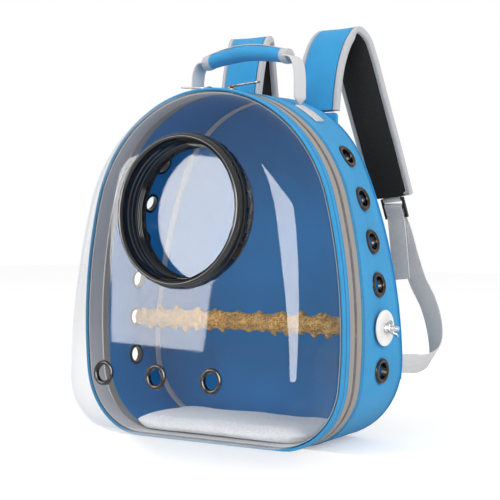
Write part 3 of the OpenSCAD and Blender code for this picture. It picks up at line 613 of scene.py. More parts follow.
# local coordinates carried to each place, along its three directions
def placedLumps(local, places, *directions):
    local = local.reshape(1, -1, 3)
    verts = places[:, None]
    for k, direction in enumerate(directions):
        verts = verts + local[..., k:k + 1] * direction[:, None]
    return verts.reshape(-1, 3)


# profile of a round collar: (radius, height) pairs, square inside and bevelled outside
def bevelledProfile(inner, outer, half, bevel):
    return [[inner, -half], [outer - bevel, -half], [outer, bevel - half], [outer, half - bevel],
            [outer - bevel, half], [inner, half]]


# a row of thread stitches: small swollen lozenges of 24 faces along a line on a surface
def stitchPatch(path, normal, spacing=0.0032, length=0.0021, radius=0.00042, slot=0):
    lengths = runLengths(path)
    count = max(int(lengths[-1] / spacing), 1)
    places = (np.arange(count) + 0.5) * lengths[-1] / count
    here = valuesAt(places, lengths, path)
    ahead = valuesAt(places + spacing * 0.3, lengths, path)
    behind = valuesAt(places - spacing * 0.3, lengths, path)
    along = unit(ahead - behind)
    normal = np.broadcast_to(normal, path.shape)
    up = unit(valuesAt(places, lengths, normal))
    side = np.cross(along, up)
    reach = np.array([-1, -0.72, 0, 0.72, 1]) * length / 2
    swell = np.array([0.25, 0.8, 1, 0.8, 0.25]) * radius
    turn = np.arange(6) * pi / 3
    local = np.stack([np.repeat(reach, 6), np.outer(swell, np.cos(turn)).ravel(),
                      np.outer(swell, np.sin(turn)).ravel()], 1)
    verts = placedLumps(local, here, along, side, up)
    ends = [[0, 3, 2, 1], [0, 5, 4, 3], [24, 25, 26, 27], [24, 27, 28, 29]]
    every = repeatedFaces(drumFaces(4, 6, ends), count, 30)
    uv = np.broadcast_to(np.array([[0, 0], [0.001, 0], [0.001, 0.001], [0, 0.001]]), (len(every), 4, 2))
    return dict(looseFaces(verts, quads=every, quadUv=uv), slot=slot)


# outline of the body: bottom flat, corner, side and top arcs that meet in line
def outlineArcs(profile):
    half, belly, topR, cornerR = profile
    topZ = body["height"] - topR
    sideR = (half ** 2 + (topZ - belly) ** 2 - topR ** 2) / (2 * (half - topR))
    sideX = half - sideR
    cornerX = sideX + math.sqrt((sideR - cornerR) ** 2 - (cornerR - belly) ** 2)
    low, high = math.atan2(cornerR - belly, cornerX - sideX), math.atan2(topZ - belly, -sideX)
    return cornerX, [(cornerX, cornerR, cornerR, -pi / 2, low), (sideX, belly, sideR, low, high),
                     (0, topZ, topR, high, pi / 2)]


outlineCounts = (10, 16, 20, 36)


# points and outward directions once round the outline, from the bottom middle to the right
def outlineLoop(profile):
    cornerX, arcs = outlineArcs(profile)
    flat = np.linspace(0, cornerX, outlineCounts[0], endpoint=False)
    points = [np.stack([flat, flat * 0], 1)]
    outward = [np.stack([flat * 0, flat * 0 - 1], 1)]
    for (x, z, radius, start, end), count in zip(arcs, outlineCounts[1:]):
        angle = np.linspace(start, end, count, endpoint=False)
        outward.append(np.stack([np.cos(angle), np.sin(angle)], 1))
        points.append(np.array([x, z]) + radius * outward[-1])
    points = np.concatenate(points + [np.array([[0, body["height"]]])])
    outward = np.concatenate(outward + [np.array([[0, 1.0]])])
    flip = np.array([-1, 1])
    return (np.concatenate([points, points[-2:0:-1] * flip]),
            np.concatenate([outward, outward[-2:0:-1] * flip]))


frontLoop, rearLoop = outlineLoop(body["front"]), outlineLoop(body["rear"])
loopCount = len(frontLoop[0])
archPart = slice(outlineCounts[0], loopCount - outlineCounts[0] + 1)  # all but the bottom flat


# points at each (depth, inset): the front outline turning into the rear one along the side panel
def bodyPoints(depth, inset):
    depth, inset = np.asarray(depth, float)[None, :, None], np.asarray(inset, float)[None, :, None]
    share = np.clip(sideShare(depth), 0, 1)
    flat = sum(part * (loop[0][:, None] - inset * loop[1][:, None])
               for part, loop in ((1 - share, frontLoop), (share, rearLoop)))
    return np.stack([flat[..., 0], np.broadcast_to(depth[..., 0], flat.shape[:2]), flat[..., 1]], -1)


# a closed section of (depth, inset) pairs carried round the outline, or over the arch only
def bodySweep(section, arch=False):
    points = bodyPoints(section[:, 0], section[:, 1])
    points[..., 2] = np.maximum(points[..., 2], body["ground"])
    if arch:
        return tubePatch(points[archPart])
    return gridPatch(points, wrapU=True, wrapV=True)


# flat tape with rounded edges, over the arch or all round the outline
def tapePatch(depths, insets, corner=0.0004, arch=True):
    return bodySweep(roundedSection(*depths, *insets, corner), arch)


# a row of stitches round the outline at one depth and inset, facing as the nearer loop does
def seamStitches(depth, inset, arch=True):
    part = archPart if arch else slice(None)
    outward = (rearLoop if depth > 0.1 else frontLoop)[1]
    points = bodyPoints([depth], [inset])[:, 0]
    if not arch:
        points, outward = ringOf(points), ringOf(outward)
    normal = np.stack([outward[:, 0], outward[:, 0] * 0, outward[:, 1]], 1)
    return stitchPatch(points[part], normal[part])


# half width of an outline at a height above its bottom corner
def halfWidth(profile, z):
    arcs = outlineArcs(profile)[1]
    sideX, belly, sideR, _, high = arcs[1]
    topZ, topR = arcs[2][1], arcs[2][2]
    return np.where(z > belly + sideR * math.sin(high), np.sqrt(np.maximum(topR ** 2 - (z - topZ) ** 2, 0)),
                    sideX + np.sqrt(sideR ** 2 - (z - belly) ** 2))


# distance of the side panel from the middle at a depth and height
def panelX(y, z):
    share = sideShare(y)
    return float(halfWidth(body["front"], z) * (1 - share) + halfWidth(body["rear"], z) * share)


# eyelets
eyelet = dict(hole=0.0095, flange=0.015, sideFirst=0.089, sidePitch=0.050, sideCount=6, sideSag=0.0019,
              sideSeat=0.0004, frontX=(-0.108, -0.028, 0.052), frontZ=0.082, frontSag=0.0002, frontSeat=0.00015)
sideY = (body["sideStart"] + body["sideEnd"]) / 2


# middle and outward direction of the side panel at a height
def sidePlace(z):
    step = 0.0005
    normal = np.array([1, (panelX(sideY - step, z) - panelX(sideY + step, z)) / (2 * step),
                       (panelX(sideY, z - step) - panelX(sideY, z + step)) / (2 * step)])
    return np.array([panelX(sideY, z), sideY, z]), unit(normal)


# rolled flange outside, a barrel through the sheet and a thin washer inside
def eyeletProfile(sheet, sag, seat):
    hole, flange, barrel = eyelet["hole"], eyelet["flange"], eyelet["hole"] + 0.0008
    middle, reach = (hole + flange) / 2, (flange - hole) / 2
    turn = np.linspace(0, pi, 15)
    roll = np.stack([middle + reach * np.cos(turn), seat + 0.0003 + 0.0020 * np.sin(turn) ** 0.8], 1)
    back = -sheet - sag
    inner = [[hole, back - 0.0009], [hole + 0.0003, back - 0.0012], [flange - 0.0023, back - 0.0012],
             [flange - 0.002, back - 0.0009], [flange - 0.002, back], [barrel, back], [barrel, seat],
             [flange - 0.0002, seat]]
    return np.concatenate([roll, inner])


# the same profile turned at each eyelet of the right side
def eyeletRow(profile, segments):
    places = [sidePlace(eyelet["sideFirst"] + row * eyelet["sidePitch"]) for row in range(eyelet["sideCount"])]
    return [revolvePatch(profile, centre, normal, (0, 1, 0), segments) for centre, normal in places]


bothWords = ((1, "right"), (-1, "left"))
sideEyelets = eyeletRow(eyeletProfile(body["fabric"], eyelet["sideSag"], eyelet["sideSeat"]), 48)
for side, word in bothWords:
    sew("eyelets_" + word, sided(sideEyelets, side), ["eyeletMetal"], "body_shell", "grommet_metal",
        "side_grommets_" + word, sharp=35)


# side panel with its eyelet holes
# slow uneven height of sewn cloth: three sine waves with mixed directions
def puckers(points, amount, seed, along=26.0):
    turns = np.random.default_rng(seed).uniform(0, 2 * pi, 3)
    x, y, z = points[..., 0], points[..., 1], points[..., 2]
    return amount * (np.sin(along * (x + z) + turns[0]) + 0.6 * np.sin(along * 2.3 * (z - y) + turns[1])
                     + 0.4 * np.sin(along * 4.1 * (x - y + z) + turns[2])) / 2


# boolean difference, applied; the cutter is removed
def cutHoles(piece, cutter):
    modifier = piece.modifiers.new("holes", "BOOLEAN")
    modifier.operation, modifier.solver, modifier.object = "DIFFERENCE", "EXACT", cutter
    settle(piece)
    bpy.data.objects.remove(cutter)


# applies the modifiers to the mesh
def settle(piece):
    bpy.context.view_layer.update()
    done = bpy.data.meshes.new_from_object(piece.evaluated_get(bpy.context.evaluated_depsgraph_get()))
    piece.modifiers.clear()
    piece.data = done


stuffing = dict(pressure=4, frames=20)


# Stuffs a closed cover: pressure pushes its skin outwards like a filled cushion, no point moves further than
# reach, and what would pass the face that it rests on stays on that face.
def stuff(piece, voxel, reach, axis, face):
    skins = list(piece.data.materials)
    remesh = piece.modifiers.new("remesh", "REMESH")
    remesh.mode, remesh.voxel_size = "VOXEL", voxel
    settle(piece)
    rest = vertexPlaces(piece.data)
    cover = piece.modifiers.new("cover", "CLOTH")
    cover.settings.use_pressure, cover.settings.uniform_pressure_force = True, stuffing["pressure"]
    cover.settings.effector_weights.gravity = 0
    for step in range(stuffing["frames"]):
        bpy.context.scene.frame_set(step + 1)
    blown = piece.evaluated_get(bpy.context.evaluated_depsgraph_get())
    move = vertexPlaces(blown.data) - rest
    piece.modifiers.clear()
    bpy.context.scene.frame_set(1)
    length = np.linalg.norm(move, axis=1, keepdims=True)
    places = rest + move * np.minimum(1, reach / np.maximum(length, 1e-9))
    places[:, axis] = np.maximum(places[:, axis], face)
    piece.data.vertices.foreach_set("co", places.astype(np.float32).ravel())
    finer = piece.modifiers.new("finer", "SUBSURF")
    finer.levels = finer.render_levels = 1
    settle(piece)
    mesh = piece.data
    for skin in [] if mesh.materials else skins:
        mesh.materials.append(skin)
    mesh.polygons.foreach_set("use_smooth", np.ones(len(mesh.polygons), bool))
    corners = np.empty(len(mesh.loops), np.int32)
    mesh.loops.foreach_get("vertex_index", corners)
    layer = mesh.uv_layers.get("UVMap") or mesh.uv_layers.new(name="UVMap")
    flat = [0, 1] if axis == 2 else [0, 2]  # the cover's pattern lies flat on its face
    layer.data.foreach_set("uv", vertexPlaces(mesh)[corners][:, flat].astype(np.float32).ravel())
    mesh.update()
    print("stuffed", piece.name, "furthest move in mm:",
          round(float(np.minimum(length, reach).max()) * 1000, 2))


# the mesh's points as rows of three
def vertexPlaces(mesh):
    places = np.empty(len(mesh.vertices) * 3, np.float32)
    mesh.vertices.foreach_get("co", places)
    return places.reshape(-1, 3).astype(float)


sidePanel = dict(columns=26, pucker=0.0005, seed=7, stitchRows=(0.0437, 0.0462), rearRow=0.1362, proud=-0.0001,
                 holeRoom=0.0011, holeDepth=0.012)


# the outline carried from front to rear outside and back inside, lifted by puckers that fade at both seams
def makeSidePanel():
    outer = np.linspace(body["sideStart"], body["sideEnd"], sidePanel["columns"])
    depth = np.concatenate([outer, outer[::-1]])
    points = bodyPoints(depth, np.concatenate([outer * 0, outer * 0 + body["fabric"]]))
    share = np.clip(sideShare(depth), 0, 1)
    lift = puckers(points, sidePanel["pucker"], sidePanel["seed"]) * np.sin(pi * share)[None]
    normal = np.stack([frontLoop[1][:, 0], frontLoop[1][:, 0] * 0, frontLoop[1][:, 1]], 1)
    points = points + lift[..., None] * normal[:, None]
    points[..., 2] = np.maximum(points[..., 2], body["ground"])
    patch = gridPatch(points, wrapU=True, wrapV=True)
    panel = makePiece("sidePanel", [patch], ["skyCloth", "shadedLining"], 50)
    wide, narrow, deep = eyelet["hole"] + sidePanel["holeRoom"], 0.0001, sidePanel["holeDepth"]
    drills = eyeletRow([[wide, -deep], [wide, deep], [narrow, deep], [narrow, -deep]], 40)
    cutHoles(panel, makePiece("drills", [part for drill in drills for part in (drill, mirrored(drill))], []))
    mesh = panel.data
    # the darker lining is the side that faces inwards, towards the body's middle line; its darker blue is
    # painted shade of the carrier's inside
    centres, normals = np.zeros(len(mesh.polygons) * 3), np.zeros(len(mesh.polygons) * 3)
    mesh.polygons.foreach_get("center", centres)
    mesh.polygons.foreach_get("normal", normals)
    centres, normals = centres.reshape(-1, 3), normals.reshape(-1, 3)
    shadedInward = ((centres - [0, 0, 0.2]) * normals * [1, 0, 1]).sum(1) < 0
    mesh.polygons.foreach_set("material_index", shadedInward.astype(np.int32))
    return panel


fit(makeSidePanel(), "body_shell", "blue_fabric", "gusset")
stitches = [seamStitches(depth, sidePanel["proud"]) for depth in sidePanel["stitchRows"]]
stitches.append(seamStitches(sidePanel["rearRow"], sidePanel["proud"], arch=False))
sew("sidePanelStitches", stitches, ["skyThread"], "body_shell", "blue_fabric", sharp=180, weld=False)
print("side panel sewn")


# back panel, its piping and the wearer's cushions
# (inset, depth) of each ring: the inner face, the rounded rim with its piping, and the outer face
backRings = np.array([[0.092, 0.1390], [0.07, 0.1390], [0.045, 0.1390], [0.02, 0.1390], [0.006, 0.1390],
                      [0.0022, 0.1393], [0.0007, 0.1402], [0, 0.142], [0.0004, 0.1438], [0.0016, 0.1448],
                      [0.0030, 0.1450], [0.0040, 0.1444], [0.0050, 0.1441], [0.02, 0.1446], [0.045, 0.1450],
                      [0.07, 0.1450], [0.092, 0.1450]])
rearStitches = dict(depth=0.1452, inset=0.0065)


# slab whose rings are drawn in from the rear outline; the rim's widest ring parts the darker lining, painted
# shade of the inside, from the cloth
def makeBackPanel():
    points = bodyPoints(backRings[:, 1], backRings[:, 0])
    points[..., 2] = np.maximum(points[..., 2], body["ground"])
    rings = points.transpose(1, 0, 2)
    # the inner face takes the darker lining: painted shade
    inside = gridPatch(rings[:8], wrapV=True, capStart=True, slot=1)
    outside = gridPatch(rings[7:], wrapV=True, capEnd=True)
    return makePiece("backPanel", [outside, inside], ["skyCloth", "shadedLining"], 60)


fit(makeBackPanel(), "body_shell", "blue_fabric", "back_panel")
rearRim = bodyPoints([rearStitches["depth"]], [rearStitches["inset"]])[:, 0]
sew("backPanelStitches", [stitchPatch(ringOf(rearRim), (0, 1, 0))], ["skyThread"],
    "body_shell", "blue_fabric", sharp=180, weld=False)

cushions = dict(thickness=0.007, width=0.104, gap=0.026, corner=0.022, lumbarZ=0.048, lumbarHeight=0.062,
                margin=0.014, topZ=0.352, voxel=0.0028, reach=0.0022)


# crowned cushion: rounded rings that draw in and rise towards the middle, with a piped foot
def cushionPatch(x, z0, width, height):
    levels = np.linspace(0, 1, 16)
    corner = cushions["corner"]
    half = min(width, height) / 2 - 0.002
    foot, footHeight = [0.0016, 0.0003, 0, 0.0005, 0.0016], [0, 0.0008, 0.0018, 0.0030, 0.0036]  # the piping
    inset = np.concatenate([foot, foot[-1] + (half - foot[-1]) * levels[1:] ** 1.25])
    crown = (cushions["thickness"] - footHeight[-1]) * np.sin(levels[1:] * pi / 2) ** 0.7
    rise = np.concatenate([footHeight, footHeight[-1] + crown])
    turn = fullTurn(72)
    quarter = np.floor(turn / (pi / 2)).astype(int)
    signX, signZ = np.array([1, -1, -1, 1])[quarter], np.array([1, 1, -1, -1])[quarter]
    rings = []
    for pull, up in zip(inset, rise):
        radius = max(corner - pull, 0.0)
        a, b = width / 2 - max(corner, pull), height / 2 - max(corner, pull)
        rings.append(np.stack([x + signX * max(a, 0) + radius * np.cos(turn),
                               np.full(len(turn), body["depth"] + body["clearance"] + up),
                               z0 + height / 2 + signZ * max(b, 0) + radius * np.sin(turn)], 1))
    return tubePatch(np.array(rings))


# two tall cushions beside the spine and one across the lumbar, each stuffed
def makeCushions():
    tallZ = cushions["lumbarZ"] + cushions["lumbarHeight"] + cushions["margin"]
    offset = (cushions["width"] + cushions["gap"]) / 2
    tall = (tallZ, cushions["width"], cushions["topZ"] - tallZ)
    lumbar = (cushions["lumbarZ"], 2 * cushions["width"] + cushions["gap"], cushions["lumbarHeight"])
    for word, x, sizes in (("left", -offset, tall), ("right", offset, tall), ("lumbar", 0, lumbar)):
        piece = makePiece("backCushion_" + word, [cushionPatch(x, *sizes)], ["netCloth"], 50)
        stuff(piece, cushions["voxel"], cushions["reach"], 1, body["depth"] + body["seamY"] + body["clearance"])
        fit(piece, "body_shell", "black_mesh", "back_pads")


makeCushions()
sew("seamBinding", [tapePatch((0.1298, 0.1388), (0.0028, 0.0045), corner=0.0006)], ["greyBinding"],
    "body_shell", "grey_binding", "rear_seam_binding", sharp=50)
print("back panel and cushions sewn")


# base board and floor pad
floorPad = dict(low=0.0068, thickness=0.014, frontY=0.006, backY=0.135, side=0.004, voxel=0.004, reach=0.003,
                pucker=0.0011, seed=3)
# (share of the thickness, how far the ring is drawn in) from the foot to the crown
floorRings = [(0, 0.007), (0.04, 0.003), (0.1, 0.0012), (0.2, 0.0002), (0.35, 0), (0.55, 0.0003), (0.7, 0.002),
              (0.82, 0.0055), (0.9, 0.011), (0.95, 0.018), (0.98, 0.028), (1.0, 0.040), (1.0, 0.050),
              (1.0, 0.0575)]


# half width between the rounded bottom corners at a height, drawn in
def cornerReach(z, inset):
    cornerX, arcs = outlineArcs(body["rear"])
    radius = body["rear"][3]
    return cornerX + np.sqrt((radius - inset) ** 2 - (radius - z) ** 2)


# squarish rings from the foot to the crown; the middle is crowned with quilted hollows
def makeFloorPad():
    turn = fullTurn(128)
    squareX, squareY = squared(np.cos(turn), 0.3), squared(np.sin(turn), 0.3)
    rings = []
    for share, drawn in floorRings:
        z = floorPad["low"] + share * floorPad["thickness"]
        a = float(cornerReach(z, floorPad["side"])) - drawn
        b = (floorPad["backY"] - floorPad["frontY"]) / 2 - drawn * 0.8
        x = a * squareX * (0.975 + 0.025 * squareY ** 2)
        y = (floorPad["frontY"] + floorPad["backY"]) / 2 + b * squareY * (0.96 + 0.04 * squareX ** 2)
        rings.append(np.stack([x, y, np.full(len(turn), z)], 1))
    rings = np.array(rings)
    upper = np.array(floorRings)[:, :1] > 0.3  # only the upper half is uneven
    rings[..., 2] += np.where(upper, puckers(rings, floorPad["pucker"], floorPad["seed"], 60), 0)
    return makePiece("floorPad", [tubePatch(rings)], ["padPile"], 60)


pad = makeFloorPad()
stuff(pad, floorPad["voxel"], floorPad["reach"], 2, floorPad["low"])
fit(pad, "body_shell", "white_pad", "floor_pad")

board = dict(frontY=0.031, backY=0.135, corner=0.008, low=0.0035, high=0.0065, bevel=0.0003, drawIn=0.012)


# stiff board with softened edges, as four rings
def boardPatch():
    half = outlineArcs(body["rear"])[0] + board["corner"]
    loop = roundedSection(-half, half, board["frontY"], board["backY"], board["corner"], 6)
    middle = np.array([0, (board["frontY"] + board["backY"]) / 2])
    low, high, bevel = board["low"], board["high"], board["bevel"]
    levels = ((low, board["drawIn"]), (low + bevel, 0), (high - bevel, 0), (high, board["drawIn"]))
    rings = [np.insert(middle + (loop - middle) * (1 - pull), 2, z, axis=1) for z, pull in levels]
    return tubePatch(np.array(rings))


sew("baseBoard", [boardPatch()], ["boardFelt"], "body_shell", "board", "base_board")
print("floor pad and board laid")


# zipper: tapes and single teeth
zipper = dict(centreY=0.028, seat=0.0013, gap=0.00015, tooth=0.0025, height=0.0026, pitch=0.0030,
              tapeInset=(0.0008, 0.0018), bodyTape=(0.0308, 0.0414), doorTape=(0.0141, 0.0252))
sew("bodyZipTape", [tapePatch(zipper["bodyTape"], zipper["tapeInset"])], ["zipTape"],
    "body_shell", "zipper_tape", "body_zipper_tape", sharp=50)
sew("doorZipTape", [tapePatch(zipper["doorTape"], zipper["tapeInset"])], ["zipTape"],
    "door", "zipper_tape", "door_zipper_tape", sharp=50)


# teeth repeated along the arch: a root in the tape and a rounded head that reaches the middle
def zipTeeth(sign, phase):
    loop = bodyPoints([zipper["centreY"]], [zipper["seat"]])[archPart, 0]
    outward = frontLoop[1][archPart]
    lengths = runLengths(loop)
    places = np.arange(zipper["pitch"] * phase, lengths[-1], zipper["pitch"])
    here = valuesAt(places, lengths, loop)
    up = unit(np.stack([np.interp(places, lengths, outward[:, 0]), places * 0,
                        np.interp(places, lengths, outward[:, 1])], 1))
    across = np.broadcast_to(np.array([0, 1.0, 0]), up.shape)
    along = np.cross(across, up)
    half, tall = zipper["pitch"] * 0.33, zipper["height"] / 2
    reach = sign * np.array([zipper["tooth"] + zipper["gap"], 0.0014, 0.0007, zipper["gap"]])
    widths = np.array([0.62, 0.7, 1.0, 0.7]) * half
    talls = np.array([0.55, 0.7, 0.92, 0.62]) * tall
    turn = np.arange(8) * pi / 4 + pi / 8
    square = np.stack([squared(np.cos(turn), 0.5), squared(np.sin(turn), 0.5)], 1)
    local = np.stack([np.outer(widths, square[:, 0]), np.repeat(reach[:, None], 8, 1),
                      np.outer(talls, square[:, 1])], -1)
    verts = placedLumps(local, here, along, across, up)
    ends = [[0, 7, 2, 1], [2, 7, 6, 3], [3, 6, 5, 4], [24, 25, 26, 31], [31, 26, 27, 30], [30, 27, 28, 29]]
    quads = drumFaces(3, 8, ends)
    every = repeatedFaces(quads[:, ::-1] if sign > 0 else quads, len(places), 32)
    return looseFaces(verts, quads=every)


sew("bodyZipTeeth", [zipTeeth(1, 0.3)], ["zipTeeth"],
    "body_shell", "zipper_teeth", "body_zipper_teeth", sharp=35, weld=False)
sew("doorZipTeeth", [zipTeeth(-1, 0.8)], ["zipTeeth"],
    "door", "zipper_teeth", "door_zipper_teeth", sharp=35, weld=False)
print("zipper teeth set")


# door: fabric band with its rolled edge, inner tape, hinge
# (depth, inset) pairs for the band; strips along the hinge as front, back, low and high
band = dict(rollMiddle=(0.0015, 0.00085), rollReach=(0.0030, -0.00185), rollTurn=(0.35 * pi, 1.5 * pi),
            outer=[[0.0138, 0.0001], [0.0110, -0.0002], [0.0080, -0.0001], [0.0056, 0.0002], [0.0044, 0.0001]],
            inner=[[0.0040, 0.0025], [0.0090, 0.0025], [0.0136, 0.0025], [0.0140, 0.0020], [0.0140, 0.0005]],
            frontRow=(0.0056, -0.0003), backRow=(0.0122, -0.0002), tapeDepth=(0.0005, 0.0240),
            tapeInset=(0.0043, 0.0055), bottom=(0.0130, 0.02785, 0.0001, 0.0025),
            hingeStrip=(0.02815, 0.0414, 0.0001, 0.0025), hingeTape=(0.0282, 0.0306, 0.0026, 0.0033),
            slabHalf=0.1004)


# rolled piping at the front that runs into the flat band, closed
def bandSection():
    turn = np.linspace(*band["rollTurn"], 12)
    roll = band["rollMiddle"] + band["rollReach"] * np.stack([np.cos(turn), np.sin(turn)], 1)
    return np.concatenate([band["outer"], roll, band["inner"]])


# flat strip under the hinge, between the two corners
def bottomSlab(y0, y1, z0, z1, radius=0.0006):
    section = roundedSection(y0, y1, z0, z1, radius)
    x = np.linspace(-band["slabHalf"], band["slabHalf"], 24)
    return tubePatch(np.stack(np.broadcast_arrays(x[:, None], section[:, 0], section[:, 1]), -1))


sew("doorBand", [bodySweep(bandSection()), bottomSlab(*band["bottom"])], ["skyCloth"],
    "door", "blue_fabric", "door_band", sharp=55)
sew("doorBandStitches", [seamStitches(*band["frontRow"], arch=False), seamStitches(*band["backRow"])],
    ["skyThread"], "door", "blue_fabric", sharp=180, weld=False)
sew("doorInnerTape", [tapePatch(band["tapeDepth"], band["tapeInset"], arch=False)], ["greyBinding"],
    "door", "grey_binding", "door_inner_tape", sharp=50)
sew("hingeStrip", [bottomSlab(*band["hingeStrip"])], ["skyCloth"],
    "body_shell", "blue_fabric", "hinge_strip", sharp=50)
sew("hingeTape", [bottomSlab(*band["hingeTape"], radius=0.0003)], ["greyBinding"],
    "body_shell", "grey_binding", "hinge_tape", sharp=50)

# bubble shell
bubble = dict(inset=0.0028, wall=0.0012, lowDepth=0.060, slope=-0.07772, lowZ=0.082, edgeLow=0.022,
              edgeHigh=0.046, edgeFull=0.250, skirt=0.012, portZ=0.275, portHole=0.0823, ventHole=0.0106)
lean = math.atan(-bubble["slope"])
plateNormal = np.array([0, -math.cos(lean), math.sin(lean)])
plateUp = np.array([0, math.sin(lean), math.cos(lean)])


# how far the bubble's flat front stands forward at a height
def bubbleDepth(z):
    return bubble["lowDepth"] + (z - bubble["lowZ"]) * bubble["slope"]


# the outline goes forward in the skirt, then in and forward along a quarter ellipse
def bubbleRings(inset):
    base, outward = frontLoop
    start = base - inset * outward
    ease = np.clip(start[:, 1] / bubble["edgeFull"], 0, 1)
    width = bubble["edgeLow"] + (bubble["edgeHigh"] - bubble["edgeLow"]) * ease ** 2 * (3 - 2 * ease)
    turn = np.linspace(0, pi / 2, 22)[None, :, None]
    rounded = start[:, None] - outward[:, None] * width[:, None, None] * (1 - np.cos(turn))
    y = -(bubbleDepth(rounded[..., 1]) - (inset - bubble["inset"])) * np.sin(turn[..., 0])
    dish = np.stack([rounded[..., 0], y, rounded[..., 1]], -1)
    skirtY = np.linspace(bubble["skirt"], 0, 4, endpoint=False)
    skirt = np.stack([np.repeat(start[:, :1], 4, 1), np.broadcast_to(skirtY, (len(start), 4)),
                      np.repeat(start[:, 1:], 4, 1)], -1)
    return np.concatenate([skirt, dish], 1)


# a point on the bubble's flat front
def frontPlace(x, z):
    return np.array([x, -bubbleDepth(z), z])


# circle in the plane of the flat front
def holeRing(centre, radius, count):
    turn = fullTurn(count)
    return centre + radius * (np.cos(turn)[:, None] * np.array([1, 0, 0]) + np.sin(turn)[:, None] * plateUp)


# flat plate between the rim and the holes, cut into triangles
def flatFront(rim, holes):
    loops = [rim] + holes
    triangles = np.array(tessellate_polygon([[Vector((p[0], p[2], 0)) for p in loop] for loop in loops]))
    verts = np.concatenate(loops)
    a, b, c = (verts[triangles[:, k]] for k in range(3))
    if (np.cross(b - a, c - a) * plateNormal).sum() < 0:
        triangles = triangles[:, ::-1]
    return looseFaces(verts, tris=triangles, triUv=verts[triangles][..., [0, 2]])


# outer and inner dish, the rim between them, the pierced front plates and the walls of their holes
def makeBubble():
    outer, inner = bubbleRings(bubble["inset"]), bubbleRings(bubble["inset"] + bubble["wall"])
    centres = [(frontPlace(0, bubble["portZ"]), bubble["portHole"], 96)]
    centres += [(frontPlace(x, eyelet["frontZ"]), bubble["ventHole"], 40) for x in eyelet["frontX"]]
    drop = plateNormal * bubble["wall"] * math.cos(lean)
    holes = [holeRing(*centre) for centre in centres]
    patches = [gridPatch(outer, wrapU=True), gridPatch(inner[:, ::-1], wrapU=True)]
    patches.append(gridPatch(np.stack([inner[:, 0], outer[:, 0]], 1), wrapU=True))
    patches.append(flatFront(outer[:, -1], holes))
    patches.append(turned(flatFront(inner[:, -1], [hole - drop for hole in holes])))
    patches += [gridPatch(np.stack([hole, hole - drop], 1), wrapU=True) for hole in holes]
    a, b, c = (outer[0, 10], outer[1, 10], outer[0, 11])
    outwards = (np.cross(b - a, c - a) * (a - [0, a[1], 0.2])).sum()
    if outwards < 0:  # only the dishes and their rim: the plates already face along their normal
        patches[:3] = [turned(patch) for patch in patches[:3]]
    return makePiece("bubbleShell", patches, ["clearShell"], 60)


fit(makeBubble(), "door", "clear_plastic", "clear_shell")
frontProfile = eyeletProfile(bubble["wall"], eyelet["frontSag"], eyelet["frontSeat"])
frontEyelets = [revolvePatch(frontProfile, frontPlace(x, eyelet["frontZ"]), plateNormal, plateUp, 48)
                for x in eyelet["frontX"]]
sew("eyelets_front", frontEyelets, ["eyeletMetal"], "door", "grommet_metal", "front_grommets", sharp=35)
print("bubble blown")

# porthole: sizes in millimetres; heights are measured outwards from the shell's front
port = dict(inner=79, groove=80.8, tube=82, flange=91, foot=0.2, lens=79.8, back=-26, end=76,
            domeMiddle=(85.6, 2.6), domeReach=(4.8, 11.4), outerGrooves=(10.2, 3.4, -2.2),
            innerGrooves=(-14, -22, -3.0))


# flange and bezel outside, fine grooves down the tube and a ledge for the lens: (radius, height)
def portholeProfile():
    inner, groove, tube, flange, foot, lens, back, end = (port[key] for key in (
        "inner", "groove", "tube", "flange", "foot", "lens", "back", "end"))
    turn = np.linspace(0.04 * pi, pi, 20)
    dome = port["domeMiddle"] + port["domeReach"] * np.stack([np.cos(turn), np.sin(turn)], 1)
    profile = [[tube, back], [tube, foot], [flange - 0.4, foot], [flange, 0.6], [flange, 2.6],
               [flange - 0.3, 3.0], *dome.tolist()]
    for h in np.arange(*port["outerGrooves"]):
        profile += [[groove, h + 0.5], [groove + 0.5, h + 0.25], [groove + 0.5, h - 0.25], [groove, h - 0.5]]
    profile += [[groove, 3], [lens, 1.5], [lens, -3.5], [inner, -4.5], [inner, -8], [lens, -8.8], [lens, -11],
                [inner, -11.8]]
    for h in np.arange(*port["innerGrooves"]):
        profile += [[inner, h + 0.6], [inner + 0.6, h + 0.3], [inner + 0.6, h - 0.3], [inner, h - 0.6]]
    profile += [[inner, back + 2.5], [end + 0.3, back + 2.5], [end, back + 2.2], [end, back + 0.3],
                [end + 0.3, back]]
    return np.array(profile) / 1000


portCentre = frontPlace(0, bubble["portZ"])
sew("portholeRing", [revolvePatch(portholeProfile(), portCentre, plateNormal, plateUp, 160)],
    ["ringBlack"], "door", "black_gloss", "porthole_ring", sharp=30)


# clamp ring behind the shell: its rim is scalloped by grip notches
def makeClamp():
    notches = 28
    turn = fullTurn(notches * 16)
    dip = np.clip((np.cos(turn * notches) - 0.62) / 0.2, 0, 1) * 0.0016
    profile = np.array([[0.0821, -0.0094], [0.0825, -0.0095], [0.0893, -0.0095], [0.0900, -0.0089],
                        [0.0900, -0.0021], [0.0893, -0.0015], [0.0825, -0.0015], [0.0821, -0.0016]])
    radius = profile[None, :, 0] - np.where(profile[None, :, 0] > 0.085, dip[:, None], 0)
    spokes = np.cos(turn)[:, None] * plateUp + np.sin(turn)[:, None] * np.cross(plateNormal, plateUp)
    points = portCentre + radius[..., None] * spokes[:, None] + profile[None, :, 1:] * plateNormal
    return makePiece("portholeClamp", [gridPatch(points, wrapU=True, wrapV=True)], ["ringBlack"], 35)


fit(makeClamp(), "door", "black_gloss", "porthole_clamp")
lensRings = [[0.0001, -0.0233], [0.04, -0.0233], [0.0784, -0.0233], [0.0787, -0.0230], [0.0787, -0.0221],
             [0.0784, -0.0218], [0.04, -0.0218], [0.0001, -0.0218]]
sew("portholeLens", [revolvePatch(lensRings, portCentre, plateNormal, plateUp, 128)],
    ["clearLens"], "door", "clear_plastic", "porthole_lens", sharp=20)
print("porthole fitted")

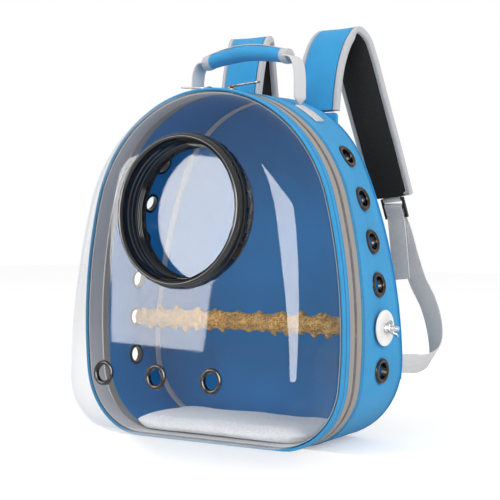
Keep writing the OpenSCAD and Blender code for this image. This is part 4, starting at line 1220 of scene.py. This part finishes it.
# perch, its washers, bolt and wing nut
perch = dict(height=0.139, radius=0.0108, lump=0.0066, pitch=0.0046, knobLength=0.0056, knobTurn=0.50,
             knobStart=0.009, grains=1500, seed=21, bolt=0.003, boltIn=0.036, boltOut=0.016, washer=0.021,
             washerT=0.003, washerHole=0.0032, backPlate=0.0012, seat=0.0013, flangeTop=0.0023, nutTurn=35)
finishes["grit"] = gritCoat("grit", sideY, perch["height"], perch["radius"] + 0.0004, perch["radius"] + 0.0026)
panelHere = panelX(sideY, perch["height"])
innerFace = panelHere - body["fabric"] - eyelet["sideSag"] - perch["backPlate"] - perch["seat"]
outerFace = panelHere + perch["flangeTop"] + perch["seat"]
perchEnd = innerFace - perch["washerT"] - body["clearance"]


# grid of lengths along the perch's axis and angles round it
def rodGrid(start, stop, steps, spokes):
    return np.meshgrid(np.linspace(start, stop, steps), fullTurn(spokes), indexing="ij")


# rod whose radius is given at each point of such a grid
def rodPatch(gridX, gridA, radius):
    y, z = sideY + radius * np.cos(gridA), perch["height"] + radius * np.sin(gridA)
    return tubePatch(np.stack([gridX, y, z], -1))


# a rod whose radius swells in knobs on a golden-angle spiral, with gravel-size bumps over them
def makePerch():
    gridX, gridA = rodGrid(-perchEnd, perchEnd, 420, 72)
    lumps = np.zeros_like(gridX)
    for knob in range(int((2 * perchEnd - 2 * perch["knobStart"]) / perch["pitch"]) + 1):
        turn = (gridA - knob * goldenAngle + pi) % (2 * pi) - pi
        alongX = np.abs(gridX + perchEnd - perch["knobStart"] - knob * perch["pitch"]) / perch["knobLength"]
        turn = turn / perch["knobTurn"]
        away = 0.6 * np.maximum(alongX, np.abs(turn)) + 0.4 * np.hypot(alongX, turn)
        lumps = np.maximum(lumps, (0.70 + 0.30 * math.sin(knob * 1.34)) * np.clip(1 - away, 0, 0.80) / 0.8)
    random = np.random.default_rng(perch["seed"])
    places = random.uniform(-perchEnd, perchEnd, perch["grains"])
    turns = random.uniform(0, 2 * pi, perch["grains"])
    sizes = random.uniform(0.0011, 0.0026, perch["grains"])
    grains = np.zeros_like(gridX)
    for place, turn, size in zip(places, turns, sizes):
        rows = slice(*np.searchsorted(gridX[:, 0], [place - size, place + size]))
        arc = ((gridA[rows] - turn + pi) % (2 * pi) - pi) * 0.012
        away = ((gridX[rows] - place) ** 2 + arc ** 2) / size ** 2
        grains[rows] = np.maximum(grains[rows], size * 0.40 * np.sqrt(np.clip(1 - away, 0, 1)))
    ends = np.clip((perchEnd - np.abs(gridX)) / 0.006, 0, 1)
    radius = perch["radius"] - 0.0008 + (perch["lump"] * lumps * ends) + grains * ends
    return makePiece("perchRod", [rodPatch(gridX, gridA, radius)], ["grit"], 75)


fit(makePerch(), "body_shell", "perch_grit", "perch")


# stepped plastic disc with a rounded rim and a shallow dish: (radius, height) turned about X
def washerPatch(x0, outward):
    r, t, hole = perch["washer"], perch["washerT"], perch["washerHole"]
    profile = np.array([[hole, 0], [r - 0.0006, 0], [r, 0.0005], [r, 0.0013], [r - 0.0006, 0.0019],
                        [r - 0.0018, 0.0024], [r - 0.0035, t], [0.0125, t], [0.0115, t - 0.0005],
                        [0.0062, t - 0.0005], [0.0056, t], [hole, t]])
    return revolvePatch(profile, [x0, sideY, perch["height"]], (outward, 0, 0), (0, 1, 0), 72)


for word, face, outward in (("outer", outerFace, 1), ("inner", innerFace, -1)):
    sew("washer_" + word, [washerPatch(face, outward)], ["washerPlastic"], "body_shell", "white_plastic",
        "perch_" + word + "_washer", sharp=30)
boltStart, boltEnd = perchEnd - perch["boltIn"], outerFace + perch["washerT"] + perch["boltOut"]


# threaded rod: the radius follows a helix of one turn a millimetre, with a bevelled tip
def makeBolt():
    gridX, gridA = rodGrid(boltStart, boltEnd, 520, 24)
    ridge = np.abs((gridX / 0.001 + gridA / (2 * pi)) % 1 - 0.5) * 2
    radius = perch["bolt"] - 0.00045 * ridge - np.clip((gridX - boltEnd + 0.0008), 0, 1) * 0.9
    return makePiece("perchBolt", [rodPatch(gridX, gridA, radius)], ["steel"], 50)


fit(makeBolt(), "body_shell", "steel", "perch_bolt")


# waisted hub, and two wings: an ellipse section carried out and up along a curve
def makeWingNut():
    base = np.array([outerFace + perch["washerT"] + 0.0002, sideY, perch["height"]])
    hub = np.array([[3.05, 0], [6.2, 0], [6.4, 0.5], [6.2, 1.4], [5.6, 2.6], [5.2, 4.5], [5.0, 6.2],
                    [4.7, 6.9], [4.2, 7.1], [3.05, 7.1]]) / 1000
    patches = [revolvePatch(hub, base, (1, 0, 0), (0, 1, 0), 40)]
    turn = math.radians(perch["nutTurn"])
    for sign in (1, -1):
        reach = sign * np.array([0, -math.sin(turn), math.cos(turn)])
        spots = np.array([[4.0, 2.6], [5.6, 3.6], [7.6, 5.6], [9.0, 7.8], [10.0, 9.8], [10.4, 11.2],
                          [10.3, 11.9]]) / 1000
        line = base + spots[:, :1] * reach + spots[:, 1:] * np.array([1.0, 0, 0])
        path = smoothPath(line, 4)
        share = np.linspace(0, 1, len(path))
        wide = np.interp(share, [0, 0.3, 0.7, 0.92, 1], [2.6, 2.5, 2.4, 1.7, 0.5]) / 1000
        thick = np.interp(share, [0, 0.3, 0.8, 1], [1.5, 1.1, 1.0, 0.4]) / 1000
        ring = fullTurn(20)
        section = np.stack([np.cos(ring), np.sin(ring)], 1)
        scale = np.stack([thick, wide], 1)[:, None]
        patches.append(sweepPatch(path, np.cross([1.0, 0, 0], reach), section, scale=scale))
    return makePiece("wingNut", patches, ["steel"], 45)


fit(makeWingNut(), "perch_wing_nut", "steel", "wing_nut")
print("perch screwed in")

# carry handle
handle = dict(legX=0.077, rise=0.060, arch=0.008, radius=0.011, gripStart=0.016, gripGap=0.0026, ends=0.86,
              wide=1.1, flat=0.9, forward=0.005, webbing=0.025, thick=0.0018, edge=0.0006, foot=0.0088,
              footWidth=0.04, tabLift=0.0004, tabTurn=12)
webHalf, webThin = handle["webbing"] / 2, handle["thick"] / 2
handleY = sideY - handle["forward"]


# radius of the arched top at a depth
def topRadius(y):
    return body["front"][2] + (body["rear"][2] - body["front"][2]) * sideShare(y)


archR = topRadius(handleY)
archZ = body["height"] - archR
legAngle = math.degrees(math.acos(handle["legX"] / archR))


# a point over the arched top: polar angle, depth and height above the cloth
def onTop(angle, y, up):
    radius, turn = topRadius(y), np.radians(angle)
    x, z = (radius + up) * np.cos(turn), body["height"] - radius + (radius + up) * np.sin(turn)
    return np.stack(np.broadcast_arrays(x, y, z), -1)


hingeZ = float(onTop(legAngle, handleY, handle["tabLift"] + handle["thick"])[2]) + body["clearance"]


# padded sleeve: an oval that swells to the middle and rises in a shallow arch
def makeGrip():
    share = np.linspace(-1, 1, 60)
    end = handle["legX"] - handle["gripStart"] - handle["gripGap"]
    tuck = 1 - 0.10 * np.clip((np.abs(share) - 0.93) / 0.07, 0, 1) ** 2
    radius = handle["radius"] * (handle["ends"] + (1 - handle["ends"]) * np.cos(pi / 2 * share)) * tuck
    across, tall = radius * handle["wide"], radius * handle["flat"]
    turn = fullTurn(40)
    z = hingeZ + handle["rise"] + handle["arch"] * np.cos(pi / 2 * share)
    seam = 0.0007 * np.exp(-((turn - 1.5 * pi) / 0.10) ** 2)  # sewn edge along the underside
    points = np.stack([np.broadcast_to((share * end)[:, None], (60, 40)),
                       handleY + across[:, None] * np.cos(turn),
                       z[:, None] + (tall[:, None] - seam) * np.sin(turn)], -1)
    outwards = np.stack([turn * 0, np.cos(turn), np.sin(turn)], -1)
    points = points + puckers(points, 0.0003, 5, 150)[..., None] * outwards
    lift, place = 0.0004, 1.9  # the piping's height over the sleeve and its angle round it
    edge = np.stack([share * end, handleY + (across + lift) * math.cos(place),
                     z + (tall + lift) * math.sin(place)], 1)
    piping = sweepPatch(edge, (0, 1, 0), roundedSection(-0.0022, 0.0022, -0.0007, 0.0007, 0.0005), slot=1)
    middle = np.stack([share * end, share * 0 + handleY, z], 1)
    stitches = stitchPatch(edge + [0, 0.0028, 0.0002], unit(edge - middle), slot=2)
    skins = ["skyCloth", "greyBinding", "skyThread"]
    return makePiece("handleGrip", [tubePatch(points), piping, stitches], skins, 50, weld=False)


fit(makeGrip(), "carry_handle", "blue_fabric", "handle_grip")


# webbing up from each tab: it narrows at its foot, turns in to the grip and ends in a sewn cuff
def makeLegs():
    rise, legX = handle["rise"], handle["legX"]
    line = np.array([[legX, 0.0002], [legX, rise * 0.25], [legX, rise * 0.55], [legX - 0.002, rise * 0.8],
                     [legX - 0.008, rise * 0.97], [legX - 0.0182, rise]])
    path = smoothPath(np.stack([line[:, 0], np.full(6, handleY), hingeZ + line[:, 1]], 1), 8)
    section = roundedSection(-webHalf, webHalf, -webThin, webThin, handle["edge"])
    foot = np.clip((path[:, 2] - hingeZ) / handle["foot"], 0, 1)  # narrow only where it turns on the arch
    scale = np.stack([handle["footWidth"] + (1 - handle["footWidth"]) * foot, np.ones(len(path))], 1)[:, None]
    legs = sweepPatch(path, (0, 1, 0), section, scale=scale)
    x = np.linspace(-1, 1, 12)
    end = handle["legX"] - handle["gripStart"]
    cuffX = end - 0.0085 + 0.0105 * (x + 1) / 2
    radius = handle["radius"] * handle["ends"] + 0.0009 - 0.0006 * np.abs(x) ** 6
    turn = fullTurn(40)
    z = hingeZ + rise + handle["arch"] * np.cos(pi / 2 * np.clip(cuffX / (end - handle["gripGap"]), -1, 1))
    cuff = np.stack([np.broadcast_to(cuffX[:, None], (12, 40)),
                     handleY + radius[:, None] * handle["wide"] * np.cos(turn),
                     z[:, None] + radius[:, None] * handle["flat"] * np.sin(turn)], -1)
    cuff = tubePatch(cuff, slot=1)
    patches = [legs, mirrored(legs), cuff, mirrored(cuff)]
    return makePiece("handleLegs", patches, ["webbing", "greyBinding"], 50)


fit(makeLegs(), "carry_handle", "grey_webbing", "handle_legs")


# sewn ends of the handle that lie on the arch: a thin strip with rounded edges
def makeTabs():
    angle = np.linspace(legAngle + 0.3, legAngle - handle["tabTurn"], 24)
    y = handleY + np.linspace(-webHalf, webHalf, 14)
    edge = np.clip(1 - (np.abs(np.linspace(-1, 1, 14)) - 0.9) / 0.1, 0, 1)
    rise = handle["tabLift"] + handle["thick"] * (0.55 + 0.45 * np.sqrt(edge))
    top = onTop(angle[:, None], y[None], rise[None])
    low = onTop(angle[:, None], y[None, ::-1], handle["tabLift"])
    strip = tubePatch(np.concatenate([top, low], 1))
    angles = legAngle - np.array([1.5, handle["tabTurn"] - 1])
    depths, up = handleY + np.array([-0.010, 0.010]), handle["tabLift"] + handle["thick"] + 0.0001
    # box and cross in one run from corner to corner: one edge is sewn twice, then the second diagonal
    run = [(0, 0), (0, 1), (1, 1), (1, 0), (0, 0), (1, 1), (1, 0)]
    patches = [strip]
    for start, stop in list(zip(run, run[1:])) + [((0, 1), (1, 0))]:
        line = onTop(np.linspace(angles[start[0]], angles[stop[0]], 12),
                     np.linspace(depths[start[1]], depths[stop[1]], 12), up)
        outwards = unit(line - [0, 0, archZ] - [0, 1, 0] * line)
        patches.append(stitchPatch(line, outwards, spacing=0.0028, slot=1))
    return makePiece("handleTabs", bothSides(patches), ["webbing", "greyThread"], 55, weld=False)


fit(makeTabs(), "body_shell", "grey_webbing", "handle_tabs")
print("handle sewn on")

# shoulder straps
strap = dict(x=0.060, width=0.062, pad=0.007, skin=0.003, binding=0.007, gap=0.0003, hingeZ=0.400,
             rootZ=0.366, rootH=0.032, rootHalf=0.031, rim=0.0026, columns=14)
strapT = strap["pad"] + strap["skin"] + strap["gap"]
strapLine = np.array([[0, 1.5, 1], [0, 6, 30], [1, 14, 62], [4, 27, 90], [9, 42, 102], [14, 56, 92],
                      [18, 66, 68], [22, 77, 36], [26, 91, -2], [30, 104, -38], [34, 116, -74],
                      [37, 126, -103]]) / 1000
strapStart = np.array([strap["x"], body["depth"] + strap["gap"] + strapT / 2, strap["hingeZ"]])
strapPath = smoothPath(strapStart + strapLine, 10)
coreWidth = strap["width"] - 2 * strap["binding"] - 0.0004


# flat cushion across the strap: both faces bulge a little between the bound edges
def strapSection(width, low, high, crown):
    s = np.linspace(-1, 1, strap["columns"])
    swell = crown * (1 - s ** 2)
    top = np.stack([s * width / 2, high - 0.0004 * s ** 8 + np.maximum(swell, 0)], 1)
    foot = np.stack([s[::-1] * width / 2, low + 0.0004 * s[::-1] ** 8], 1)
    return np.concatenate([top, foot])


# outer cloth, pad, and a bound edge on each side with a row of stitches on both faces
def strapPieces(side, word):
    rides = "strap_" + word
    skin = strapSection(coreWidth, -strapT / 2, -strapT / 2 + strap["skin"], 0)
    skin[strap["columns"]:, 1] -= 0.0009 * (1 - np.linspace(1, -1, strap["columns"]) ** 2)
    pad = strapSection(coreWidth, strapT / 2 - strap["pad"], strapT / 2, 0.0008)
    skin, pad = (sided([sweepPatch(strapPath, (1, 0, 0), section)], side) for section in (skin, pad))
    sew("strapSkin_" + word, skin, ["skyCloth"], rides, "blue_fabric", "strap_skin_" + word, sharp=60)
    padPiece = sew("strapPad_" + word, pad, ["netCloth"], rides, "black_mesh", "strap_pad_" + word, sharp=60)
    edges, rows = [], []
    along, across, up = pathFrames(strapPath, (1, 0, 0))
    half, bandHalf = (strapT - 0.0006) / 2, strap["binding"] / 2
    for sign in (-1, 1):
        middle = sign * (strap["width"] - strap["binding"]) / 2
        bound = roundedSection(middle - bandHalf, middle + bandHalf, -half, half, strap["rim"], 5)
        edges.append(sweepPatch(strapPath, (1, 0, 0), bound))
        for face in (-1, 1):
            line = strapPath + (middle - sign * 0.0020) * across + face * (half + 0.0001) * up
            rows.append(stitchPatch(line, up * face, spacing=0.0034, slot=1))
    # the binding turns across the strap's lower end, a little prouder than along its edges
    tip, proud = strapPath[-1] - along[-1] * (bandHalf - 0.0004), half + 0.0002
    reach = np.linspace(-1, 1, 8)[:, None] * (strap["width"] / 2 - 0.0012) * across[-1]
    tipBand = roundedSection(-bandHalf, bandHalf, -proud, proud, strap["rim"], 5)
    edges.append(sweepPatch(tip + reach, along[-1], tipBand))
    sew("strapBinding_" + word, sided(edges + rows, side), ["greyBinding", "greyThread"],
        rides, "grey_binding", "strap_binding_" + word, sharp=60, weld=False)


for side, word in bothWords:
    strapPieces(side, word)


# sewn root of a strap: a quilted block with a rounded rim and a stitched box
def rootPatches():
    low, high = strap["rootZ"], strap["rootZ"] + strap["rootH"]
    loop = roundedSection(-strap["rootHalf"], strap["rootHalf"], low, high, 0.004, 5)
    middle = np.array([0, (low + high) / 2])
    front, back = body["depth"] + strap["gap"], body["depth"] + strap["gap"] + strapT - 0.002

    def drawnLoop(y, pull):
        ring = middle + (loop - middle) * (1 - pull / np.array([strap["rootHalf"], strap["rootH"] / 2]))
        return np.stack([strap["x"] + ring[:, 0], np.full(len(ring), y), ring[:, 1]], 1)

    rings = [drawnLoop(front, 0.0)]
    for drop, pull in ((0.0035, 0.0), (0.0018, 0.0006), (0.0009, 0.0020), (0.0013, 0.0034), (0.0006, 0.0052),
                       (0, 0.0090), (0, 0.0130)):
        rings.append(drawnLoop(back - drop, pull))
    block = tubePatch(np.array(rings))
    return [block, stitchPatch(ringOf(drawnLoop(back - 0.0011, 0.0034)), (0, 1, 0), slot=1)]


sew("strapRoots", bothSides(rootPatches()), ["skyCloth", "skyThread"], "body_shell", "blue_fabric",
    "strap_roots", sharp=50, weld=False)

# ladder-locks, their loops and the lower webbing
lock = dict(width=0.034, height=0.028, thick=0.004, bar=0.004, loopT=0.0015, loopGap=0.0004, webbing=0.025,
            tail=0.078)
endPoint = strapPath[-1]
coarse = smoothPath(strapStart + strapLine, 2)
endDir = unit(coarse[-1] - coarse[-3])
barDrop = lock["thick"] / 2 + lock["loopGap"] + lock["loopT"] + 0.0002
barPoint = endPoint + barDrop * endDir
pitch, roll = math.asin(endDir[1]), math.atan2(endDir[0], -endDir[2])


# a turn about the Y axis
def turnAboutY(angle):
    return np.array([[math.cos(angle), 0, math.sin(angle)], [0, 1, 0], [-math.sin(angle), 0, math.cos(angle)]])


turnX = np.array([[1, 0, 0], [0, math.cos(pitch), -math.sin(pitch)], [0, math.sin(pitch), math.cos(pitch)]])
lockTurn = turnAboutY(-roll) @ turnX  # X first, then Y, as rotate([pitch, -roll, 0]) does


# from the ladder-lock's own frame to the strap's end
def lockFrame(points):
    return barPoint + np.asarray(points, float) @ lockTurn.T


# one rounded bar of the ladder-lock between two points of its own frame
def barPatch(start, stop, wide, thick, radius=0.0008):
    start, stop = np.array(start, float), np.array(stop, float)
    path = start + (stop - start) * np.array([0, 0.02, 0.98, 1])[:, None]
    section = roundedSection(-wide / 2, wide / 2, -thick / 2, thick / 2, radius, 4)
    scale = np.array([0.8, 1, 1, 0.8])[:, None, None]
    across = (0, 0, 1) if abs(stop[0] - start[0]) > abs(stop[2] - start[2]) else (1, 0, 0)
    patch = sweepPatch(path, across, section, scale=scale)
    patch["verts"] = lockFrame(patch["verts"])
    return patch


# five bars of the ladder-lock, and the loop of webbing that holds its top bar
def makeLock(side, word):
    w, h, t, b = lock["width"], lock["height"], lock["thick"], lock["bar"]
    slotH, sideBar = (h - 3 * b) / 2, (w - lock["webbing"] - 0.002) / 2
    patches = [barPatch((-w / 2, 0, 0), (w / 2, 0, 0), t, t, t / 2 - 0.0001)]
    for sign in (-1, 1):
        edge = sign * (w / 2 - sideBar / 2)
        patches.append(barPatch((edge, 0, 0.0), (edge, 0, b / 2 - h), sideBar, t))
    for z in (-slotH - b, b - h):
        patches.append(barPatch((-w / 2 + 0.001, 0, z), (w / 2 - 0.001, 0, z), b, t))
    sew("ladderLock_" + word, sided(patches, side), ["buckleBlack"],
        "strap_adjuster_" + word, "black_plastic", "adjuster_" + word, sharp=35)
    inner = t / 2 + lock["loopGap"]
    loop = revolvePatch(bevelledProfile(inner, inner + lock["loopT"], webHalf, 0.0003), barPoint,
                        lockTurn @ np.array([1.0, 0, 0]), lockTurn @ np.array([0, 0, 1.0]), 40)
    sew("strapLoop_" + word, sided([loop], side), ["webbing"], "strap_" + word, "grey_binding",
        "strap_loop_" + word, sharp=45)


strand = lock["thick"] / 2 + handle["thick"] / 2 + 0.0007
midBar = -(lock["height"] - 3 * lock["bar"]) / 2 - lock["bar"]
anchor = dict(z=0.091, thick=0.0035, height=0.034, width=0.030)


# a point of the hanging tail, so far below the lock
def tailPoint(length):
    return [0, -strand - length * math.sin(pitch), -lock["height"] - length * math.cos(pitch)]


# hanging tail, over the middle bar, down behind the carrier and back to the lower corner
def webbingPath():
    tail = lock["tail"]
    overBar = [(-1, 0), (-0.9, 0.0028), (-0.5, 0.0047), (0, 0.0053), (0.5, 0.0047), (0.9, 0.0028), (1, 0)]
    locked = np.array([tailPoint(tail), tailPoint(tail * 0.6), tailPoint(tail * 0.25),
                       [0, -strand, 0.002 - lock["height"]],
                       *([0, strand * share, midBar + up] for share, up in overBar),
                       [0, strand + 0.0004, midBar - 0.018]])
    below = np.array([[14, 12, -56], [23, 12, -85], [34, 10, -112]]) / 1000
    above = np.array([[-27, 134, 67], [-15, 128, 39], [-7, 116, 15], [-2, 97, 1], [0, 64, -4], [0, 30, -1],
                      [0, 0, 0]]) / 1000
    sideX = float(halfWidth(body["rear"], anchor["z"]))
    end = np.array([sideX - 0.012, body["depth"] + body["clearance"] + anchor["thick"] + 0.0011, anchor["z"]])
    return smoothPath(np.concatenate([lockFrame(locked), endPoint + below, end + above]), 8), end


# the webbing's flat section carried along its path, turning from across the body to upright
def makeWebbing(side, word):
    path, end = webbingPath()
    share = np.linspace(0, 1, len(path))
    twist = np.clip((share - 0.52) / 0.48, 0, 1)
    twist = (twist ** 2 * (3 - 2 * twist))[:, None]
    across = np.array([1.0, 0, 0]) * (1 - twist) + np.array([0.3, 0, 0.95]) * twist
    patch = sweepPatch(path, across, roundedSection(-webHalf, webHalf, -webThin, webThin, 0.0007))
    piece = makePiece("strapWebbing_" + word, sided([patch], side), ["webbing"], 60)
    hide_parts("strap_webbing_" + word)
    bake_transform(piece)


# folded triangle of cloth that holds the webbing's end
def makeAnchor(side, word):
    reach = float(halfWidth(body["rear"], anchor["z"])) - 0.004
    tall, short = anchor["height"] / 2, 0.004
    corners = np.array([[reach, anchor["z"] + tall], [reach, anchor["z"] - tall],
                        [reach - anchor["width"], anchor["z"] - short],
                        [reach - anchor["width"], anchor["z"] + short]])
    ring = np.concatenate([np.linspace(corners[k], corners[(k + 1) % 4], 8, endpoint=False) for k in range(4)])
    middle = ring.mean(0)
    low, high = body["depth"] + body["clearance"], body["depth"] + body["clearance"] + anchor["thick"]
    levels = [(low, 0.985), (low + 0.0005, 1), (high - 0.0012, 1), (high - 0.0005, 0.96),
              (high - 0.0007, 0.86), (high, 0.75), (high, 0.4)]
    rings = np.array([np.insert(middle + (ring - middle) * scale, 1, y, axis=1) for y, scale in levels])
    row = stitchPatch(ringOf(rings[4]) + [0, 0.0002, 0], (0, 1, 0), slot=1)
    sew("strapAnchor_" + word, sided([tubePatch(rings), row], side), ["skyCloth", "skyThread"],
        "body_shell", "blue_fabric", "strap_anchor_" + word, sharp=50, weld=False)


for side, word in bothWords:
    makeLock(side, word)
    makeWebbing(side, word)
    makeAnchor(side, word)
print("straps sewn")

# zipper sliders and pull tabs
sliderSize = dict(rest=5, length=0.015, width=0.011, thick=0.0018, seat=0.0004, lug=0.0036, lugHalf=0.0008,
                  lugY=0.0036, pin=0.001, pinHalf=0.0044, pinUp=0.0024, slant=9, pull=0.042, pullHalf=0.004,
                  pullThick=0.0016, eye=0.0025, hole=0.0020, holeBack=0.007, edge=0.0004)
sliderCentre = np.array([0, zipper["centreY"], body["height"] - body["front"][2]])


# along the arch (x), across it (y) and outwards (z), turned to the slider's place
def sliderFrame(points, side):
    points = np.asarray(points, float) + [0, 0, body["front"][2]]
    return sliderCentre + points @ turnAboutY(math.radians(side * sliderSize["rest"])).T


# a plate with a softened rim: its outline drawn in a little at both faces
def platePatch(outline, low, high, bevel, toFrame):
    outline = np.array(outline, float)
    middle = outline.mean(0)
    size = np.linalg.norm(outline - middle, axis=1, keepdims=True)
    rings = []
    for z, pull in ((low, bevel), (low + bevel, 0), (high - bevel, 0), (high, bevel)):
        rings.append(toFrame(middle + (outline - middle) * (1 - pull / size), z))
    return tubePatch(np.array(rings))


# squarish plate over the teeth with a lip, and two lugs that hold the pull's pin
def makeSlider(side, word):
    s = sliderSize
    turn = fullTurn(40)
    oval = np.stack([s["length"] / 2 * squared(np.cos(turn), 0.45),
                     s["width"] / 2 * squared(np.sin(turn), 0.6) * (1 - 0.14 * np.cos(turn) * side)], 1)
    top = s["seat"] + s["thick"]

    def place(ring, z):
        return sliderFrame(np.column_stack([ring, np.full(len(ring), z)]), side)

    patches = [platePatch(oval, s["seat"], top, 0.0004, place)]
    lip = roundedSection(-s["length"] / 2 + 0.001, s["length"] / 2 - 0.001, 0.0031, s["width"] / 2, 0.0008, 4)
    patches.append(platePatch(lip, -0.0006, 0.0009, 0.0002, place))
    for sign in (-1, 1):
        y = sign * s["lugY"]
        lug = roundedSection(-0.002, 0.002, y - s["lugHalf"], y + s["lugHalf"], 0.0005)
        patches.append(platePatch(lug, top - 0.0002, top + s["lug"] - 0.0001, 0.0003, place))
    pin = revolvePatch(bevelledProfile(0.0001, s["pin"], s["pinHalf"], 0.0002), (0, 0, top + s["pinUp"]),
                       (0, 1, 0), (1, 0, 0), 24)
    pin["verts"] = sliderFrame(pin["verts"], side)
    patches.append(pin)
    sew("zipSlider_" + word, patches, ["zipMetal"],
        "zip_slider_" + word, "zipper_metal", "slider_" + word, sharp=35)


# pull tab: a flat tongue with an eye round the pin and a small hole near its end
def makePull(side, word):
    s = sliderSize
    slant = math.radians(side * -s["slant"])
    pivot = np.array([0, 0, s["seat"] + s["thick"] + s["pinUp"]])

    def tabFrame(points):
        along, across, up = points[:, 0] * side, points[:, 1], points[:, 2]
        x, z = along * math.cos(slant) + up * math.sin(slant), -along * math.sin(slant) + up * math.cos(slant)
        return sliderFrame(pivot + np.stack([x, across, z], 1), side)

    # width along the tongue, as a strip in two halves round the end hole
    tip, holeX = s["pull"], s["pull"] - s["holeBack"]
    x = np.concatenate([np.linspace(0.0015, 0.006, 5), np.linspace(0.0075, tip - 0.0103, 16),
                        holeX + 0.0033 * np.cos(np.linspace(pi, 0, 13)), [tip - 0.0025, tip - 0.0012, tip]])
    half = np.interp(x, [0, 0.006, 0.011, tip - 0.003, tip - 0.001, tip],
                     [s["eye"], s["eye"], s["pullHalf"], s["pullHalf"], 0.0034, 0.0018])
    hole = np.sqrt(np.clip(s["hole"] ** 2 - (x - holeX) ** 2, 0, 1))
    thick, edge = s["pullThick"] / 2, s["edge"]
    halves = []
    for sign in (-1, 1):
        inner, outer = sign * hole, sign * half
        corners = [(inner, -thick), (outer - sign * edge, -thick), (outer, edge - thick), (outer, thick - edge),
                   (outer - sign * edge, thick), (inner, thick)]
        points = np.stack([np.stack([x, across, np.full(len(x), up)], 1) for across, up in corners], 1)
        halves.append(tubePatch(tabFrame(points.reshape(-1, 3)).reshape(points.shape)))
    halves[1] = turned(halves[1])  # the right half runs the other way round
    eye = revolvePatch(bevelledProfile(0.00106, 0.0022, s["eye"], 0.0003), (0, 0, 0), (0, 1, 0), (1, 0, 0), 24)
    eye["verts"] = tabFrame(eye["verts"])
    sew("zipPull_" + word, halves + [eye], ["zipMetal"],
        "zip_pull_" + word, "zipper_metal", "pull_tab_" + word, sharp=35, weld=False)


for side, word in bothWords:
    makeSlider(side, word)
    makePull(side, word)
print("sliders set")
